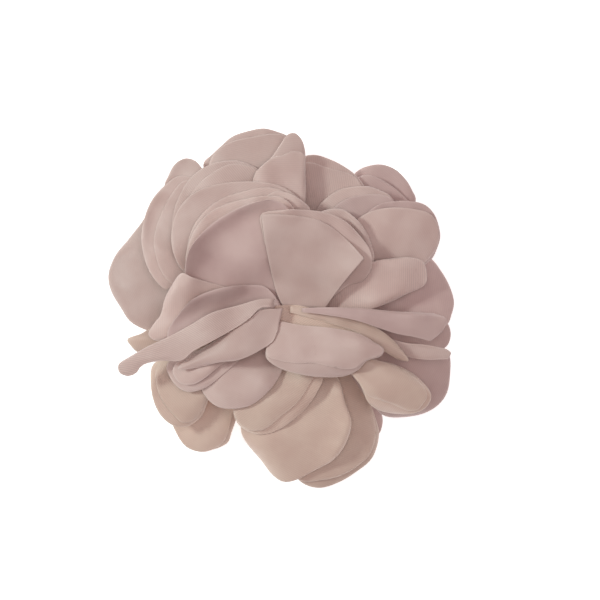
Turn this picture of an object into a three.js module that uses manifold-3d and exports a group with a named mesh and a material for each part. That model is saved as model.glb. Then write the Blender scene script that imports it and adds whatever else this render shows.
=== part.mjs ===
// Fabric flower on an alligator hair clip. Millimetres, +Z up.
// The flower faces +Z. The clip lies under it along X and rests on Z = 0, with its jaw
// at -X and its thumb lever at +X. The origin is under the middle of the flower.
import * as THREE from "three";
import { mergeVertices } from "three/addons/utils/BufferGeometryUtils.js";
import Module from "manifold-3d";

const wasm = await Module();
wasm.setup();

// ---- driving dimensions ----
const GAP = 0.3; // air between touching pieces
const CLOTH = 0.35; // one folded petal, pressed flat
const CLOTH_AIR = 0.42; // air between two petals that lie on each other

const ARM_WIDTH = 9;
const ARM_THICK = 0.8; // clip sheet steel
const JAW_TIP_X = -24;
const LEVER_END_X = 36;
const PIN_X = 18;
const PIN_Z = 2.75;
const PIN_RADIUS = 0.6;
const JAW_GAP = 3.9; // between the two arms, closed
const UPPER_Z = ARM_THICK + JAW_GAP; // underside of the upper arm
const LEVER_ANGLE = 14; // degrees that the thumb lever rises
const EAR_THICK = 0.6;
const EAR_RADIUS = 1.65; // round end of a hinge ear, about the pin
const EAR_FLARE = 3.2; // half the width of an ear at its root
const TEETH = 9; // on each side of the jaw
const TOOTH_PITCH = 2;
const TOOTH_HEIGHT = 1.3;
const FIRST_TOOTH_X = JAW_TIP_X + 3.5;

const FELT_RADIUS = 21;
const FELT_THICK = 1.2;
const FELT_Z = 6.6;
const BASE_RADIUS = 17;
const BASE_THICK = 0.8;
const BASE_Z = FELT_Z + FELT_THICK + GAP;
const CORE_Z = BASE_Z + BASE_THICK + GAP;
const LOFT_Z = 10; // height of the lowest petals
const LOFT = 1.3; // how far the petal tiers stand apart, against the heights listed below

const STEEL = { color: 0xb9bcc0, roughness: 0.3, metalness: 1 };
const SPRING_STEEL = { color: 0x8d9196, roughness: 0.35, metalness: 1 };
const FELT = { color: 0xcfc4bd, roughness: 0.95, metalness: 0 };
const GLUE = { color: 0xe6dfd2, roughness: 0.4, metalness: 0 };
const BUCKRAM = { color: 0xd8cec6, roughness: 0.9, metalness: 0 };
const THREAD = { color: 0xb59a92, roughness: 0.8, metalness: 0 };
const RIBBON = { color: 0xb99f97, roughness: 0.6, metalness: 0 };
const PINK = { color: 0xb89f97, roughness: 0.55, metalness: 0 };
const BEIGE = { color: 0xbfa495, roughness: 0.55, metalness: 0 };
const MAUVE = { color: 0xa98f8b, roughness: 0.55, metalness: 0 };

const group = new THREE.Group();

function add(name, geometry, finish) {
  const mesh = new THREE.Mesh(geometry, new THREE.MeshStandardMaterial(finish));
  mesh.name = name;
  group.add(mesh);
}

// ---- solids that are joined and cut ----
function toSolid(geometry) {
  const bare = geometry.clone();
  bare.deleteAttribute("normal");
  bare.deleteAttribute("uv");
  const merged = mergeVertices(bare, 1e-5);
  return new wasm.Manifold(
    new wasm.Mesh({
      numProp: 3,
      vertProperties: merged.getAttribute("position").array,
      triVerts: new Uint32Array(merged.getIndex().array),
    }),
  );
}

function fromSolid(solid) {
  const mesh = solid.getMesh();
  const geometry = new THREE.BufferGeometry();
  geometry.setAttribute("position", new THREE.BufferAttribute(mesh.vertProperties, 3));
  geometry.setIndex(new THREE.BufferAttribute(mesh.triVerts, 1));
  geometry.computeVertexNormals();
  return geometry;
}

function joined(geometries) {
  return geometries.map(toSolid).reduce((whole, piece) => whole.add(piece));
}

// A disc standing on Z = z.
function disc(radius, thick, z, sides) {
  const geometry = new THREE.CylinderGeometry(radius, radius, thick, sides);
  geometry.rotateX(Math.PI / 2);
  geometry.translate(0, 0, z + thick / 2);
  return geometry;
}

// A round bar along Y through (x, z).
function crossBar(radius, length, x, z, sides) {
  const geometry = new THREE.CylinderGeometry(radius, radius, length, sides);
  geometry.translate(x, 0, z);
  return geometry;
}

// A bent strip: the outline of a line with a thickness to its left, both in the XZ plane.
function stripShape(line, thick) {
  const normals = line.slice(1).map(([x, z], i) => {
    const length = Math.hypot(x - line[i][0], z - line[i][1]);
    return [-(z - line[i][1]) / length, (x - line[i][0]) / length];
  });
  const far = line.map(([x, z], i) => {
    const a = normals[Math.max(i - 1, 0)];
    const b = normals[Math.min(i, normals.length - 1)];
    const scale = thick / (1 + a[0] * b[0] + a[1] * b[1]);
    return [x + (a[0] + b[0]) * scale, z + (a[1] + b[1]) * scale];
  });
  return new THREE.Shape([...line, ...far.reverse()].map(([x, z]) => new THREE.Vector2(x, z)));
}

// A shape drawn in XZ and given a depth along Y, centred on y.
function alongY(shape, depth, y) {
  const geometry = new THREE.ExtrudeGeometry(shape, { depth, bevelEnabled: false });
  geometry.rotateX(Math.PI / 2);
  geometry.translate(0, y + depth / 2, 0);
  return geometry;
}

// ---- the clip ----
const rise = Math.tan(THREE.MathUtils.degToRad(LEVER_ANGLE));
const leverStart = PIN_X + 2;
const LIP = 1.2; // run of the turned-down jaw tip

function upperArmLine() {
  return [
    [JAW_TIP_X, ARM_THICK + GAP],
    [JAW_TIP_X + LIP, UPPER_Z],
    [leverStart, UPPER_Z],
    [LEVER_END_X, UPPER_Z + (LEVER_END_X - leverStart) * rise],
  ];
}

// An ear is a tapered plate with a round end about the pin. It hangs from a root above the
// pin or stands on one below it.
function ear(rootZ, y) {
  const side = rootZ < PIN_Z ? 1 : -1;
  const start = rootZ < PIN_Z ? 0 : Math.PI;
  const shape = new THREE.Shape();
  shape.moveTo(PIN_X - side * EAR_FLARE, rootZ);
  shape.lineTo(PIN_X + side * EAR_FLARE, rootZ);
  shape.absarc(PIN_X, PIN_Z, EAR_RADIUS, start, start + Math.PI, false);
  shape.closePath();
  return alongY(shape, EAR_THICK, y);
}

function tooth(x, y) {
  const root = ARM_THICK - 0.2; // sunk into the arm
  const shape = new THREE.Shape([
    new THREE.Vector2(x - TOOTH_PITCH * 0.4, root),
    new THREE.Vector2(x + TOOTH_PITCH * 0.4, root),
    new THREE.Vector2(x, ARM_THICK + TOOTH_HEIGHT),
  ]);
  return alongY(shape, EAR_THICK, y);
}

const pinHole = toSolid(crossBar(PIN_RADIUS + GAP, 20, PIN_X, PIN_Z, 16));
const outerEarY = ARM_WIDTH / 2 - EAR_THICK / 2;
const innerEarY = outerEarY - EAR_THICK - GAP;

function clipUpperArm() {
  const plate = alongY(stripShape(upperArmLine(), ARM_THICK), ARM_WIDTH, 0);
  const ears = [-1, 1].map((s) => ear(UPPER_Z + ARM_THICK / 2, s * outerEarY));
  return fromSolid(joined([plate, ...ears]).subtract(pinHole));
}

function clipLowerArm() {
  const line = [[JAW_TIP_X, 0], [LEVER_END_X, 0]];
  const plate = alongY(stripShape(line, ARM_THICK), ARM_WIDTH, 0);
  const ears = [-1, 1].map((s) => ear(ARM_THICK / 2, s * innerEarY));
  const teeth = [];
  for (let i = 0; i < TEETH; i++) {
    for (const s of [-1, 1]) teeth.push(tooth(FIRST_TOOTH_X + i * TOOTH_PITCH, s * outerEarY));
  }
  return fromSolid(joined([plate, ...ears, ...teeth]).subtract(pinHole));
}

// The torsion spring: a coil round the pin, with two legs that press the levers apart.
const LEG_START_X = PIN_X + 4;
const LEG_END_X = PIN_X + 8;
const STEPS_PER_TURN = 12;
const WIRE_SIDES = 6;

function torsionSpring() {
  const wire = 0.35;
  const mean = 1.25;
  const turns = 3.5;
  const halfWidth = 1.9;
  const points = [new THREE.Vector3(LEG_END_X, -halfWidth, PIN_Z + mean)];
  points.push(new THREE.Vector3(LEG_START_X, -halfWidth, PIN_Z + mean));
  const steps = turns * STEPS_PER_TURN;
  for (let i = 0; i <= steps; i++) {
    const angle = Math.PI / 2 + (i / STEPS_PER_TURN) * 2 * Math.PI;
    const y = -halfWidth + (2 * halfWidth * i) / steps;
    points.push(new THREE.Vector3(PIN_X + mean * Math.cos(angle), y, PIN_Z + mean * Math.sin(angle)));
  }
  points.push(new THREE.Vector3(LEG_START_X, halfWidth, PIN_Z - mean));
  points.push(new THREE.Vector3(LEG_END_X, halfWidth, PIN_Z - mean));
  const section = new THREE.Shape();
  for (let i = 0; i < WIRE_SIDES; i++) {
    const angle = (i / WIRE_SIDES) * 2 * Math.PI;
    const at = [wire * Math.cos(angle), wire * Math.sin(angle)];
    if (i === 0) section.moveTo(...at);
    else section.lineTo(...at);
  }
  const path = new THREE.CatmullRomCurve3(points);
  const pieces = steps + 22; // the turns, and the two legs with their bends
  return new THREE.ExtrudeGeometry(section, { steps: pieces, extrudePath: path, bevelEnabled: false });
}

// The felt strap passes under the upper arm and lies on the felt disc at both sides.
function feltKeeper() {
  const thick = 0.8;
  const width = 18;
  const [dip, wingStart, wingEnd] = [5, 6.6, 10.5]; // to each side of the arm's middle
  const wing = FELT_Z - GAP - thick;
  const under = UPPER_Z - GAP - thick;
  const line = [
    [-wingEnd, wing],
    [-wingStart, wing],
    [-dip, under],
    [dip, under],
    [wingStart, wing],
    [wingEnd, wing],
  ];
  const geometry = alongY(stripShape(line, thick), width, 0);
  geometry.rotateZ(Math.PI / 2);
  geometry.translate(-width / 2, 0, 0);
  return geometry;
}

function roundedPlate(length, width, thick, x, z) {
  const radius = Math.min(width / 2 - 0.01, 2.5);
  const straight = length / 2 - radius;
  const side = width / 2 - radius;
  const shape = new THREE.Shape();
  shape.absarc(x + straight, side, radius, 0, Math.PI / 2);
  shape.absarc(x - straight, side, radius, Math.PI / 2, Math.PI);
  shape.absarc(x - straight, -side, radius, Math.PI, 1.5 * Math.PI);
  shape.absarc(x + straight, -side, radius, 1.5 * Math.PI, 2 * Math.PI);
  const geometry = new THREE.ExtrudeGeometry(shape, {
    depth: thick,
    bevelEnabled: false,
    curveSegments: 4,
  });
  geometry.translate(0, 0, z);
  return geometry;
}

// The bound stalk of petal roots. Radius and height of its turned outline.
const CORE_LINE = [[0, 0], [8, 0], [8.4, 1.2], [7.4, 4], [5.6, 7], [3.6, 8.6], [0, 9]];
const CORE_WIDEST = 2;

function stitchedCore() {
  const line = CORE_LINE.map(([r, z]) => new THREE.Vector2(r, z));
  const geometry = new THREE.LatheGeometry(line, 20);
  geometry.rotateX(Math.PI / 2);
  geometry.translate(0, 0, CORE_Z);
  return geometry;
}

add("clip_upper_arm", clipUpperArm(), STEEL);
add("clip_lower_arm", clipLowerArm(), STEEL);
add("hinge_pin", crossBar(PIN_RADIUS, ARM_WIDTH + 1, PIN_X, PIN_Z, 12), STEEL);
add("torsion_spring", torsionSpring(), SPRING_STEEL);
add("ribbon_lining", roundedPlate(29, 6.2, 0.4, -4.5, ARM_THICK + GAP), RIBBON);
add("felt_keeper", feltKeeper(), FELT);
add("glue_pad", roundedPlate(32, 7, 0.5, -2, UPPER_Z + ARM_THICK + GAP), GLUE);
add("felt_backing", disc(FELT_RADIUS, FELT_THICK, FELT_Z, 40), FELT);
add("base_disc", disc(BASE_RADIUS, BASE_THICK, BASE_Z, 32), BUCKRAM);
add("stitched_core", stitchedCore(), THREAD);

// ---- the petals ----
// Each is a folded double round of satin. edge runs from one root corner round the tip to
// the other root corner, in plan; a repeated point is a sharp corner. z is the free height
// of its root, middle and tip, cup is how far its sides stand above its middle, and droop
// is the share of the full hang that its edge has. The list runs from the lowest petal to
// the top one, and each lies on those before it.
const PETALS = [
  {
    name: "petal_low_right_back", finish: MAUVE, z: [10, 10, 8], cup: 0,
    edge: [[6, -8], [21, -17], [28, -26], [31, -32.5], [31, -35.5], [29.5, -38.5], [21, -39],
      [9, -27], [2, -10]],
  },
  {
    name: "petal_low_left", finish: BEIGE, z: [10, 11, 8], cup: 0,
    edge: [[-6, -8], [-17, -13], [-28, -23], [-33, -33], [-31.5, -38], [-28.5, -42],
      [-24, -43.5], [-20, -42.5], [-17, -40], [-15.5, -36], [-14, -30], [-8, -16], [-2, -9.5]],
  },
  {
    name: "petal_low_right", finish: BEIGE, z: [11, 13, 10], cup: 0.5,
    edge: [[5, -8], [18, -16], [26, -26], [29, -33.5], [30, -38], [28, -45], [23, -49.5],
      [17, -53], [12, -54.3], [7, -53], [2, -47], [-1, -36], [-1, -18], [0, -10]],
  },
  {
    name: "petal_left", finish: PINK, z: [11, 14, 13], cup: 0.5,
    edge: [[-9, 3], [-20, 20], [-30, 31], [-38, 31.5], [-42, 26], [-46, 21], [-50, 16],
      [-52, 10], [-51, 5], [-48, 0], [-45, -4], [-38, -7], [-25, -7.5], [-10, -3]],
  },
  {
    name: "petal_top_right_back", finish: MAUVE, z: [11, 14, 14], cup: 0.5,
    edge: [[6, 8], [14, 26], [20, 37.5], [23.5, 41.8], [27, 43.3], [31, 43.6], [35, 42],
      [38, 39], [40, 35.5], [41, 33], [36, 22], [24, 11], [10, 4]],
  },
  {
    name: "petal_top_right", finish: MAUVE, z: [12, 15, 14.5], cup: 0.5,
    edge: [[6, 7.5], [14, 24], [20, 36.5], [25, 40.3], [29, 39.7], [33, 37.5], [37, 34.3],
      [39, 31.5], [33, 20], [22, 9], [10, 3.5]],
  },
  {
    name: "petal_top", finish: PINK, z: [12, 17, 17], cup: 0.5,
    edge: [[1, 10], [3, 27], [6, 45], [10, 46.4], [15, 45], [19.5, 42.7], [23, 40], [25.5, 36],
      [22, 24], [13, 12], [6, 8]],
  },
  {
    name: "petal_top_left_back", finish: PINK, z: [12, 17, 17], cup: 0.5,
    edge: [[-5, 9], [-14, 25], [-22, 39], [-23, 44], [-20.5, 46.5], [-17.5, 49.3], [-14.5, 51.8],
      [-10, 53.4], [-5, 54.3], [-1, 53.4], [2.5, 51.8], [5, 45], [5, 28], [2, 10]],
  },
  {
    name: "petal_top_left_front", finish: PINK, z: [13, 18, 17.5], cup: 0.5,
    edge: [[-5, 8.5], [-13, 24], [-21, 38], [-21, 44.5], [-18, 48.3], [-14, 50.5], [-8, 51.8],
      [-2, 52.7], [1.5, 52], [4.5, 45], [4.5, 28], [2, 9.5]],
  },
  {
    name: "petal_upper_left", finish: PINK, z: [13, 17, 18], cup: 0.5,
    edge: [[-6, 8], [-18, 20], [-29, 30], [-34.7, 36.5], [-33.5, 40], [-31.5, 43.5],
      [-28.5, 45.2], [-25.5, 44.5], [-23.3, 42], [-15, 28], [-7, 15], [-2, 9.5]],
  },
  {
    name: "petal_right_low_back", finish: MAUVE, z: [11, 14, 11], cup: 0.5,
    edge: [[9, -5], [24, -8], [40, -11.5], [50, -12], [51.4, -14], [51.5, -20], [50.5, -25.5],
      [48, -29], [44, -31.5], [38, -32.8], [31.5, -32.3], [27, -28], [18, -16], [7, -8]],
  },
  {
    name: "petal_right_narrow", finish: MAUVE, z: [13, 15, 14], cup: 0.5,
    edge: [[13, -1], [30, 1], [45, -1], [50.3, -4], [51.5, -7.5], [50.5, -11], [48, -12.5],
      [35, -11], [20, -6.5], [13, -5]],
  },
  {
    name: "petal_right", finish: MAUVE, z: [14, 17, 16], cup: 1,
    edge: [[12, 6], [24, 12], [38, 17], [45, 15.5], [48.5, 11.5], [51, 7], [52.4, 2],
      [51.7, -1.5], [50, -5], [43, -5.5], [25, -3], [13, -2]],
  },
  {
    name: "petal_upper_right_outer", finish: PINK, z: [15, 19, 20], cup: 1,
    edge: [[7, 11], [8.5, 20], [11, 30], [14, 33.3], [18, 35.8], [22, 36.6], [26, 36.8],
      [30, 35.6], [33.5, 33.3], [31, 20], [22, 11], [13, 6]],
  },
  {
    name: "petal_upper_right_inner", finish: MAUVE, z: [16, 20, 20.5], cup: 1,
    edge: [[8, 10], [11, 20], [15, 29], [19, 32.5], [24, 34], [29, 34.4], [32.5, 33.6],
      [34.3, 32], [31, 20], [22, 11], [13, 5.5]],
  },
  {
    name: "petal_right_high_back", finish: MAUVE, z: [16, 18, 17], cup: 1,
    edge: [[11, 9], [20, 22], [29, 31], [34, 32.2], [39, 32.3], [43.5, 31.2], [46.2, 28.5],
      [47.6, 25], [48.1, 21.5], [47.3, 18.5], [45.5, 15], [35, 8], [22, 4], [14, 4]],
  },
  {
    name: "petal_right_high_front", finish: PINK, z: [16.5, 19, 18], cup: 1,
    edge: [[11, 8.5], [17, 20], [24, 27.5], [29, 29.7], [35, 30.3], [40, 29.9], [44.5, 28.7],
      [46.7, 26.5], [47.6, 22], [47, 18.5], [44.5, 15], [35, 8], [22, 3.5], [14, 3.5]],
  },
  {
    name: "petal_bottom", finish: BEIGE, z: [13, 17, 13], cup: 0,
    edge: [[4, -8], [12, -14], [17.5, -21], [19.5, -28], [21.4, -34], [20, -40], [16, -45.5],
      [10, -49], [4.5, -51.8], [1, -52.3], [-2, -50.5], [-6, -45.5], [-10, -40.5],
      [-11.8, -36.5], [-10, -26], [-6, -15], [-2, -9]],
  },
  {
    name: "petal_low_left_front", finish: BEIGE, z: [14, 17, 15], cup: 0.5,
    edge: [[-6, -5], [-20, -8], [-33, -13.5], [-38.5, -17], [-39, -22], [-38.2, -27.5],
      [-36, -32], [-32.5, -35], [-29, -35.5], [-26.5, -34.7], [-23.5, -32], [-21, -26.5],
      [-13, -19], [-6, -11], [-3, -8]],
  },
  {
    name: "petal_left_high", finish: PINK, z: [15, 19, 19], cup: 1,
    edge: [[-5, 7], [-14, 26], [-24, 38], [-30, 40], [-34.5, 37], [-38.5, 32.5], [-40.7, 27],
      [-41.5, 21], [-40.3, 14], [-37.5, 8.8], [-34, 5.8], [-31, 7], [-20, 7.5], [-9, 4]],
  },
  {
    name: "petal_right_low_front", finish: BEIGE, z: [16, 23, 20], cup: -1,
    edge: [[11, -8], [19, -11], [28, -15], [34, -16.5], [40, -19.5], [44.5, -24], [45.3, -26.5],
      [43.8, -29.5], [40.5, -31.2], [36, -31.5], [30, -30.5], [26.5, -28], [23.5, -22],
      [15, -14], [9, -11]],
  },
  {
    name: "petal_upper_left_ply_1", finish: PINK, z: [16, 21, 21], cup: 0.5,
    edge: [[-9, 9], [-16, 15], [-29, 16], [-32, 22], [-32, 28], [-30, 34], [-27, 39],
      [-22.5, 42.5], [-17, 44.2], [-13, 44.4], [-9, 43.2], [-6, 41.3], [-2, 30], [-3, 13]],
  },
  {
    name: "petal_top_pocket", finish: PINK, z: [16, 21, 22], cup: 0.5,
    edge: [[-4, 13], [-8, 30], [-7, 40], [-3, 44.5], [0, 49], [2.3, 52.2], [4.3, 52.7],
      [6.3, 51], [7.4, 48], [7.6, 42], [7.5, 30], [5, 20], [3, 13]],
  },
  {
    name: "petal_upper_left_ply_2", finish: PINK, z: [18, 22, 23], cup: 1,
    edge: [[-10, 6], [-18, 8.5], [-28.5, 11], [-31.5, 16], [-32.4, 21.5], [-31.5, 27], [-29, 31.5],
      [-25, 35], [-19, 37.2], [-12, 38], [-5, 37.8], [1, 36.3], [6.5, 32], [8, 25], [4, 12]],
  },
  {
    name: "petal_upper_left_ply_3", finish: PINK, z: [19, 23, 24], cup: 1,
    edge: [[-9, 6], [-17, 8.5], [-27, 13.5], [-27.5, 19], [-25.5, 25], [-22, 29.5], [-17, 33],
      [-11, 35], [-5, 36.2], [0, 35.5], [4, 33], [7.5, 29], [8, 23], [4, 11]],
  },
  {
    name: "petal_top_crescent_outer", finish: PINK, z: [20, 24, 25], cup: 0.5,
    edge: [[-1, 12], [-5, 21], [-5, 32], [-1.5, 35], [3, 34.3], [6.5, 32.3], [9, 29.8], [9.5, 23],
      [5, 12]],
  },
  {
    name: "petal_upper_left_ply_4", finish: PINK, z: [20, 24, 25.5], cup: 1,
    edge: [[-8, 5], [-17, 7.5], [-27.5, 12.5], [-27.5, 18], [-25, 24], [-21, 28.7], [-16, 31.2],
      [-10, 32.8], [-4, 33.6], [0, 33.2], [3.5, 31], [5, 28], [6.5, 22], [3.5, 10]],
  },
  {
    name: "petal_top_crescent_inner", finish: PINK, z: [20, 25, 26], cup: 0.5,
    edge: [[-2, 11], [-7, 19], [-7.5, 29], [-4.5, 32.5], [-1, 33.6], [2, 32.2], [4.3, 29.5],
      [5.5, 21], [3, 11]],
  },
  {
    name: "petal_centre_dish", finish: MAUVE, z: [20, 23, 27], cup: 3, droop: 0,
    edge: [[-4, -1], [-14, 3], [-24, 4.5], [-27.5, 7.5], [-28, 12], [-26.8, 17], [-23.5, 22],
      [-19, 26], [-13, 29.5], [-7, 31.6], [-2, 32.2], [1.5, 30.7], [4, 27.5], [5.5, 20],
      [5, 2]],
  },
  {
    name: "petal_centre_right_rim", finish: PINK, z: [18, 22, 24], cup: 1,
    edge: [[6, 9], [8, 20], [11, 28], [15, 29.8], [19, 29.5], [22.5, 27], [25.3, 23.5],
      [27.5, 18.5], [27.8, 14], [20, 8], [11, 5]],
  },
  {
    name: "petal_right_ribbed", finish: PINK, z: [18, 22, 21], cup: -1,
    edge: [[11, 4], [15, 6.5], [22, 11.5], [28, 14.2], [33, 15], [39, 15.4], [42.5, 14.4],
      [43.8, 11.5], [43.5, 7.5], [38, 4.5], [32, 1.7], [26, -0.2], [18, -0.8], [12, -0.5]],
  },
  {
    name: "petal_fan_back", finish: PINK, z: [21, 24, 27], cup: 1,
    edge: [[1, 2], [-2, 12], [-5, 22], [-5.5, 28], [0, 29.2], [7, 29.4], [14, 28.5],
      [19.5, 26], [24, 21.5], [27.2, 16.5], [27, 11.5], [24.5, 8.2], [21, 7.3], [13, 1.5]],
  },
  {
    name: "petal_fan", finish: PINK, z: [22, 25, 28], cup: 1.5, droop: 0.4,
    edge: [[1, 0.5], [-1, 5], [-3, 13], [-4.5, 21], [-5.5, 28], [-5.5, 28], [0, 28], [6, 27.5],
      [11.5, 26.3], [16.5, 23.5], [21, 19.5], [25, 15], [25, 15], [21.5, 11], [17.5, 6],
      [13.5, 0.3]],
  },
  {
    name: "petal_lower_mid", finish: BEIGE, z: [17, 20, 18], cup: 0.5,
    edge: [[4, -9.5], [9.5, -13.5], [13, -20], [11, -25], [7.5, -30], [3, -34], [-2, -37],
      [-6, -37.7], [-10, -36.5], [-12.7, -34.3], [-14, -30], [-11, -22], [-7, -14], [-3, -10]],
  },
  {
    name: "petal_lower_left_broad", finish: PINK, z: [19, 23, 22], cup: -0.5,
    edge: [[-1, -9], [0.5, -12.5], [1, -17], [-1, -21.5], [-5, -26], [-9, -28.8], [-15, -29.8],
      [-19, -29], [-22, -26.5], [-23.5, -23.5], [-20, -18], [-13, -12], [-7, -8]],
  },
  {
    name: "petal_left_tip_back", finish: BEIGE, z: [17, 18, 16], cup: 0,
    edge: [[-16, -6.5], [-28, -6], [-38, -5.5], [-42, -7.5], [-46, -9.2], [-44.8, -11.2],
      [-42.5, -13.2], [-34, -13], [-22, -11], [-15, -9.5]],
  },
  {
    name: "petal_left_shoulder", finish: PINK, z: [19, 22, 21], cup: 0.5,
    edge: [[-8, 4], [-16, 6.5], [-26, 9.5], [-29, 10.7], [-32.5, 6.5], [-34.5, 2.5],
      [-35.5, -1.5], [-38, -5], [-39.3, -7.5], [-37.5, -9.3], [-34, -9], [-24, -6],
      [-14, -3.5], [-8, -1.5]],
  },
  {
    name: "petal_left_cup", finish: MAUVE, z: [22, 23, 24], cup: 1.5, droop: 0,
    edge: [[-1.4, 3.9], [-4.5, 6.7], [-9, 7.2], [-15, 6.7], [-21, 5.2], [-26, 2.7], [-30, -1.5],
      [-33.3, -6.5], [-33, -9], [-26, -9], [-17, -5.5], [-8, -3], [0.6, 0.5]],
  },
  {
    name: "petal_lower_left_outer", finish: PINK, z: [20, 22, 20], cup: 0.5,
    edge: [[-11, -8.5], [-20, -11], [-33, -15.5], [-34, -17.5], [-33, -20.3], [-31, -23],
      [-28.5, -24.6], [-25.5, -24.7], [-21, -22.7], [-17, -19.5], [-13, -16], [-9, -12.5]],
  },
  {
    name: "petal_lower_left_inner", finish: PINK, z: [21, 23, 21], cup: 0.5,
    edge: [[-10, -8], [-18, -10.5], [-30, -15.5], [-32, -18], [-31, -21], [-29, -22.4],
      [-25.5, -22.3], [-22, -20.3], [-18, -17], [-14, -14.5], [-9, -11.5]],
  },
  {
    name: "petal_right_strip", finish: PINK, z: [20, 19, 17], cup: 0, droop: 0.2,
    edge: [[19, -5.5], [30, -8], [38, -10.2], [44, -10.8], [50, -12], [50, -12], [51.3, -13.2],
      [50.5, -15], [50.5, -15], [44, -15.2], [37.5, -14.2], [29, -11.5], [19, -8]],
  },
  {
    name: "petal_centre_right_bright", finish: BEIGE, z: [24, 24.5, 25], cup: 0,
    edge: [[-1.5, 1], [5, 1.2], [11, -0.3], [16, -2.2], [21, -4.7], [25, -7.5], [20, -8.5],
      [10, -7.5], [-1.5, -5.5]],
  },
  {
    name: "petal_right_fold", finish: BEIGE, z: [25, 24, 20], cup: 0, droop: 0.2,
    edge: [[3, 0.9], [12, -0.5], [20, -2], [25, -3.8], [30, -6.3], [34, -9.5], [37, -13],
      [37, -13], [38.5, -15.5], [35.5, -15.2], [35.5, -15.2], [31, -12.5], [27.5, -10],
      [24, -7.5], [14, -4], [3, -1]],
  },
  {
    name: "petal_right_top", finish: MAUVE, z: [27, 26, 21], cup: 0, droop: 0.2,
    edge: [[6.5, 0.3], [12, 0.5], [17.5, 0.5], [26, 0.1], [33, -0.6], [40, -1], [46, -1.3],
      [46, -1.3], [49.8, -3], [49, -6], [45, -9.6], [45, -9.6], [40, -8.3], [35, -7.4], [30, -5.8], [22, -3.2],
      [12, -1.5], [6.5, -0.9]],
  },
  {
    name: "petal_front_centre", finish: PINK, z: [26, 28, 27], cup: -1,
    edge: [[0, -3.5], [6, -4.7], [12, -5.2], [18, -6], [24, -7.5], [28, -9.8], [31, -12],
      [30, -14], [26, -15.3], [23, -18.3], [19, -20], [12, -20.2], [6, -19.3], [0, -17.5],
      [-4, -14.5], [-4, -11.5], [-2.5, -8.5]],
  },
  {
    name: "petal_front_left", finish: PINK, z: [26, 28, 26], cup: 0,
    edge: [[1, 0.3], [-6, -0.5], [-9, -3], [-14, -6], [-20, -9.8], [-25, -13], [-30.3, -17.7],
      [-25, -17.5], [-18, -15.8], [-12, -15], [-6, -12.3], [-2, -9.5], [-0.7, -6.5]],
  },
  {
    name: "petal_front_long_left", finish: PINK, z: [27, 28, 23], cup: 0.5, droop: 0.4,
    edge: [[-1.5, 3], [-5.5, 3], [-12, 1.2], [-20, -1], [-27, -5], [-33, -8.2], [-39, -11],
      [-44.5, -14], [-44.5, -14], [-48.2, -16.7], [-47.8, -19], [-45.5, -20.1],
      [-45.5, -20.1], [-43, -19.3], [-41, -16.8], [-36, -15.4], [-29, -15.2], [-26, -12.7],
      [-20, -9.5], [-13.5, -5.8],
      [-9, -2.8], [-5.5, 0.5], [-2, 0.5]],
  },
];

const ALONG = 7; // facets from root to tip
const ACROSS = 5; // facets from side to side
const TIP_SHARE = 0.28; // the part of an edge that is its tip, where no corner says so
const SPAN_STEPS = 10; // straight steps between two points of an edge

// The edge as a fine line, with the share of its length at each point and at its corners.
function fineEdge(points) {
  const runs = [[points[0]]];
  points.slice(1).forEach((point, i) => {
    const repeated = point[0] === points[i][0] && point[1] === points[i][1];
    if (repeated) runs.push([point]);
    else runs.at(-1).push(point);
  });
  const line = [];
  const corners = [];
  for (const run of runs) {
    const curve = new THREE.CatmullRomCurve3(run.map(([x, y]) => new THREE.Vector3(x, y, 0)));
    const fine = curve.getPoints((run.length - 1) * SPAN_STEPS);
    if (line.length) fine.shift();
    line.push(...fine);
    corners.push(line.length - 1);
  }
  corners.pop();
  const share = [0];
  for (let i = 1; i < line.length; i++) share.push(share[i - 1] + line[i].distanceTo(line[i - 1]));
  const length = share.at(-1);
  return { line, share: share.map((s) => s / length), corners: corners.map((i) => share[i] / length) };
}

function edgeAt({ line, share }, s) {
  let i = share.findIndex((value) => value >= s - 1e-9);
  i = Math.max(1, i < 0 ? line.length - 1 : i);
  const t = (s - share[i - 1]) / (share[i] - share[i - 1]);
  return line[i - 1].clone().lerp(line[i], Math.min(Math.max(t, 0), 1));
}

// The plan of a petal: a grid of points filled in between its two sides, its root and its tip.
function petalPlan(points) {
  const edge = fineEdge(points);
  const even = [0.5 - TIP_SHARE / 2, 0.5 + TIP_SHARE / 2];
  const [left, right] = edge.corners.length === 2 ? edge.corners : even;
  const at = (s) => edgeAt(edge, s);
  const root = [at(0), at(1)];
  const tip = [at(left), at(right)];
  const plan = [];
  for (let i = 0; i <= ALONG; i++) {
    const u = i / ALONG;
    const a = at(left * u);
    const b = at(1 - (1 - right) * u);
    for (let j = 0; j <= ACROSS; j++) {
      const v = j / ACROSS;
      const near = root[0].clone().lerp(root[1], v);
      const far = at(left + (right - left) * v);
      const farCorners = tip[0].clone().lerp(tip[1], v);
      const sides = a.clone().lerp(b, v);
      const ends = near.clone().lerp(far, u);
      plan.push(sides.add(ends).sub(near.lerp(farCorners, u)));
    }
  }
  return plan;
}

const CELLS = [];
for (let i = 0; i < ALONG; i++) {
  for (let j = 0; j < ACROSS; j++) {
    const a = i * (ACROSS + 1) + j;
    const b = a + ACROSS + 1;
    CELLS.push([a, b, b + 1], [a, b + 1, a + 1]);
  }
}

// A map of how high the flower reaches so far, on a square grid of samples.
const STEP = 0.3;
const HALF = 60;
const COUNT = Math.round((2 * HALF) / STEP) + 1;
const reach = new Float32Array(COUNT * COUNT);

function coreTop(r) {
  for (let i = CORE_WIDEST; i < CORE_LINE.length - 1; i++) {
    const [r0, z0] = CORE_LINE[i];
    const [r1, z1] = CORE_LINE[i + 1];
    if (r <= r0 && r >= r1) return CORE_Z + z0 + ((z1 - z0) * (r0 - r)) / (r0 - r1);
  }
  return 0;
}

const MARGIN = 0.5; // the hardware is taken this much wider than it is
const FLOOR = 1; // the lowest that a petal hangs

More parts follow.
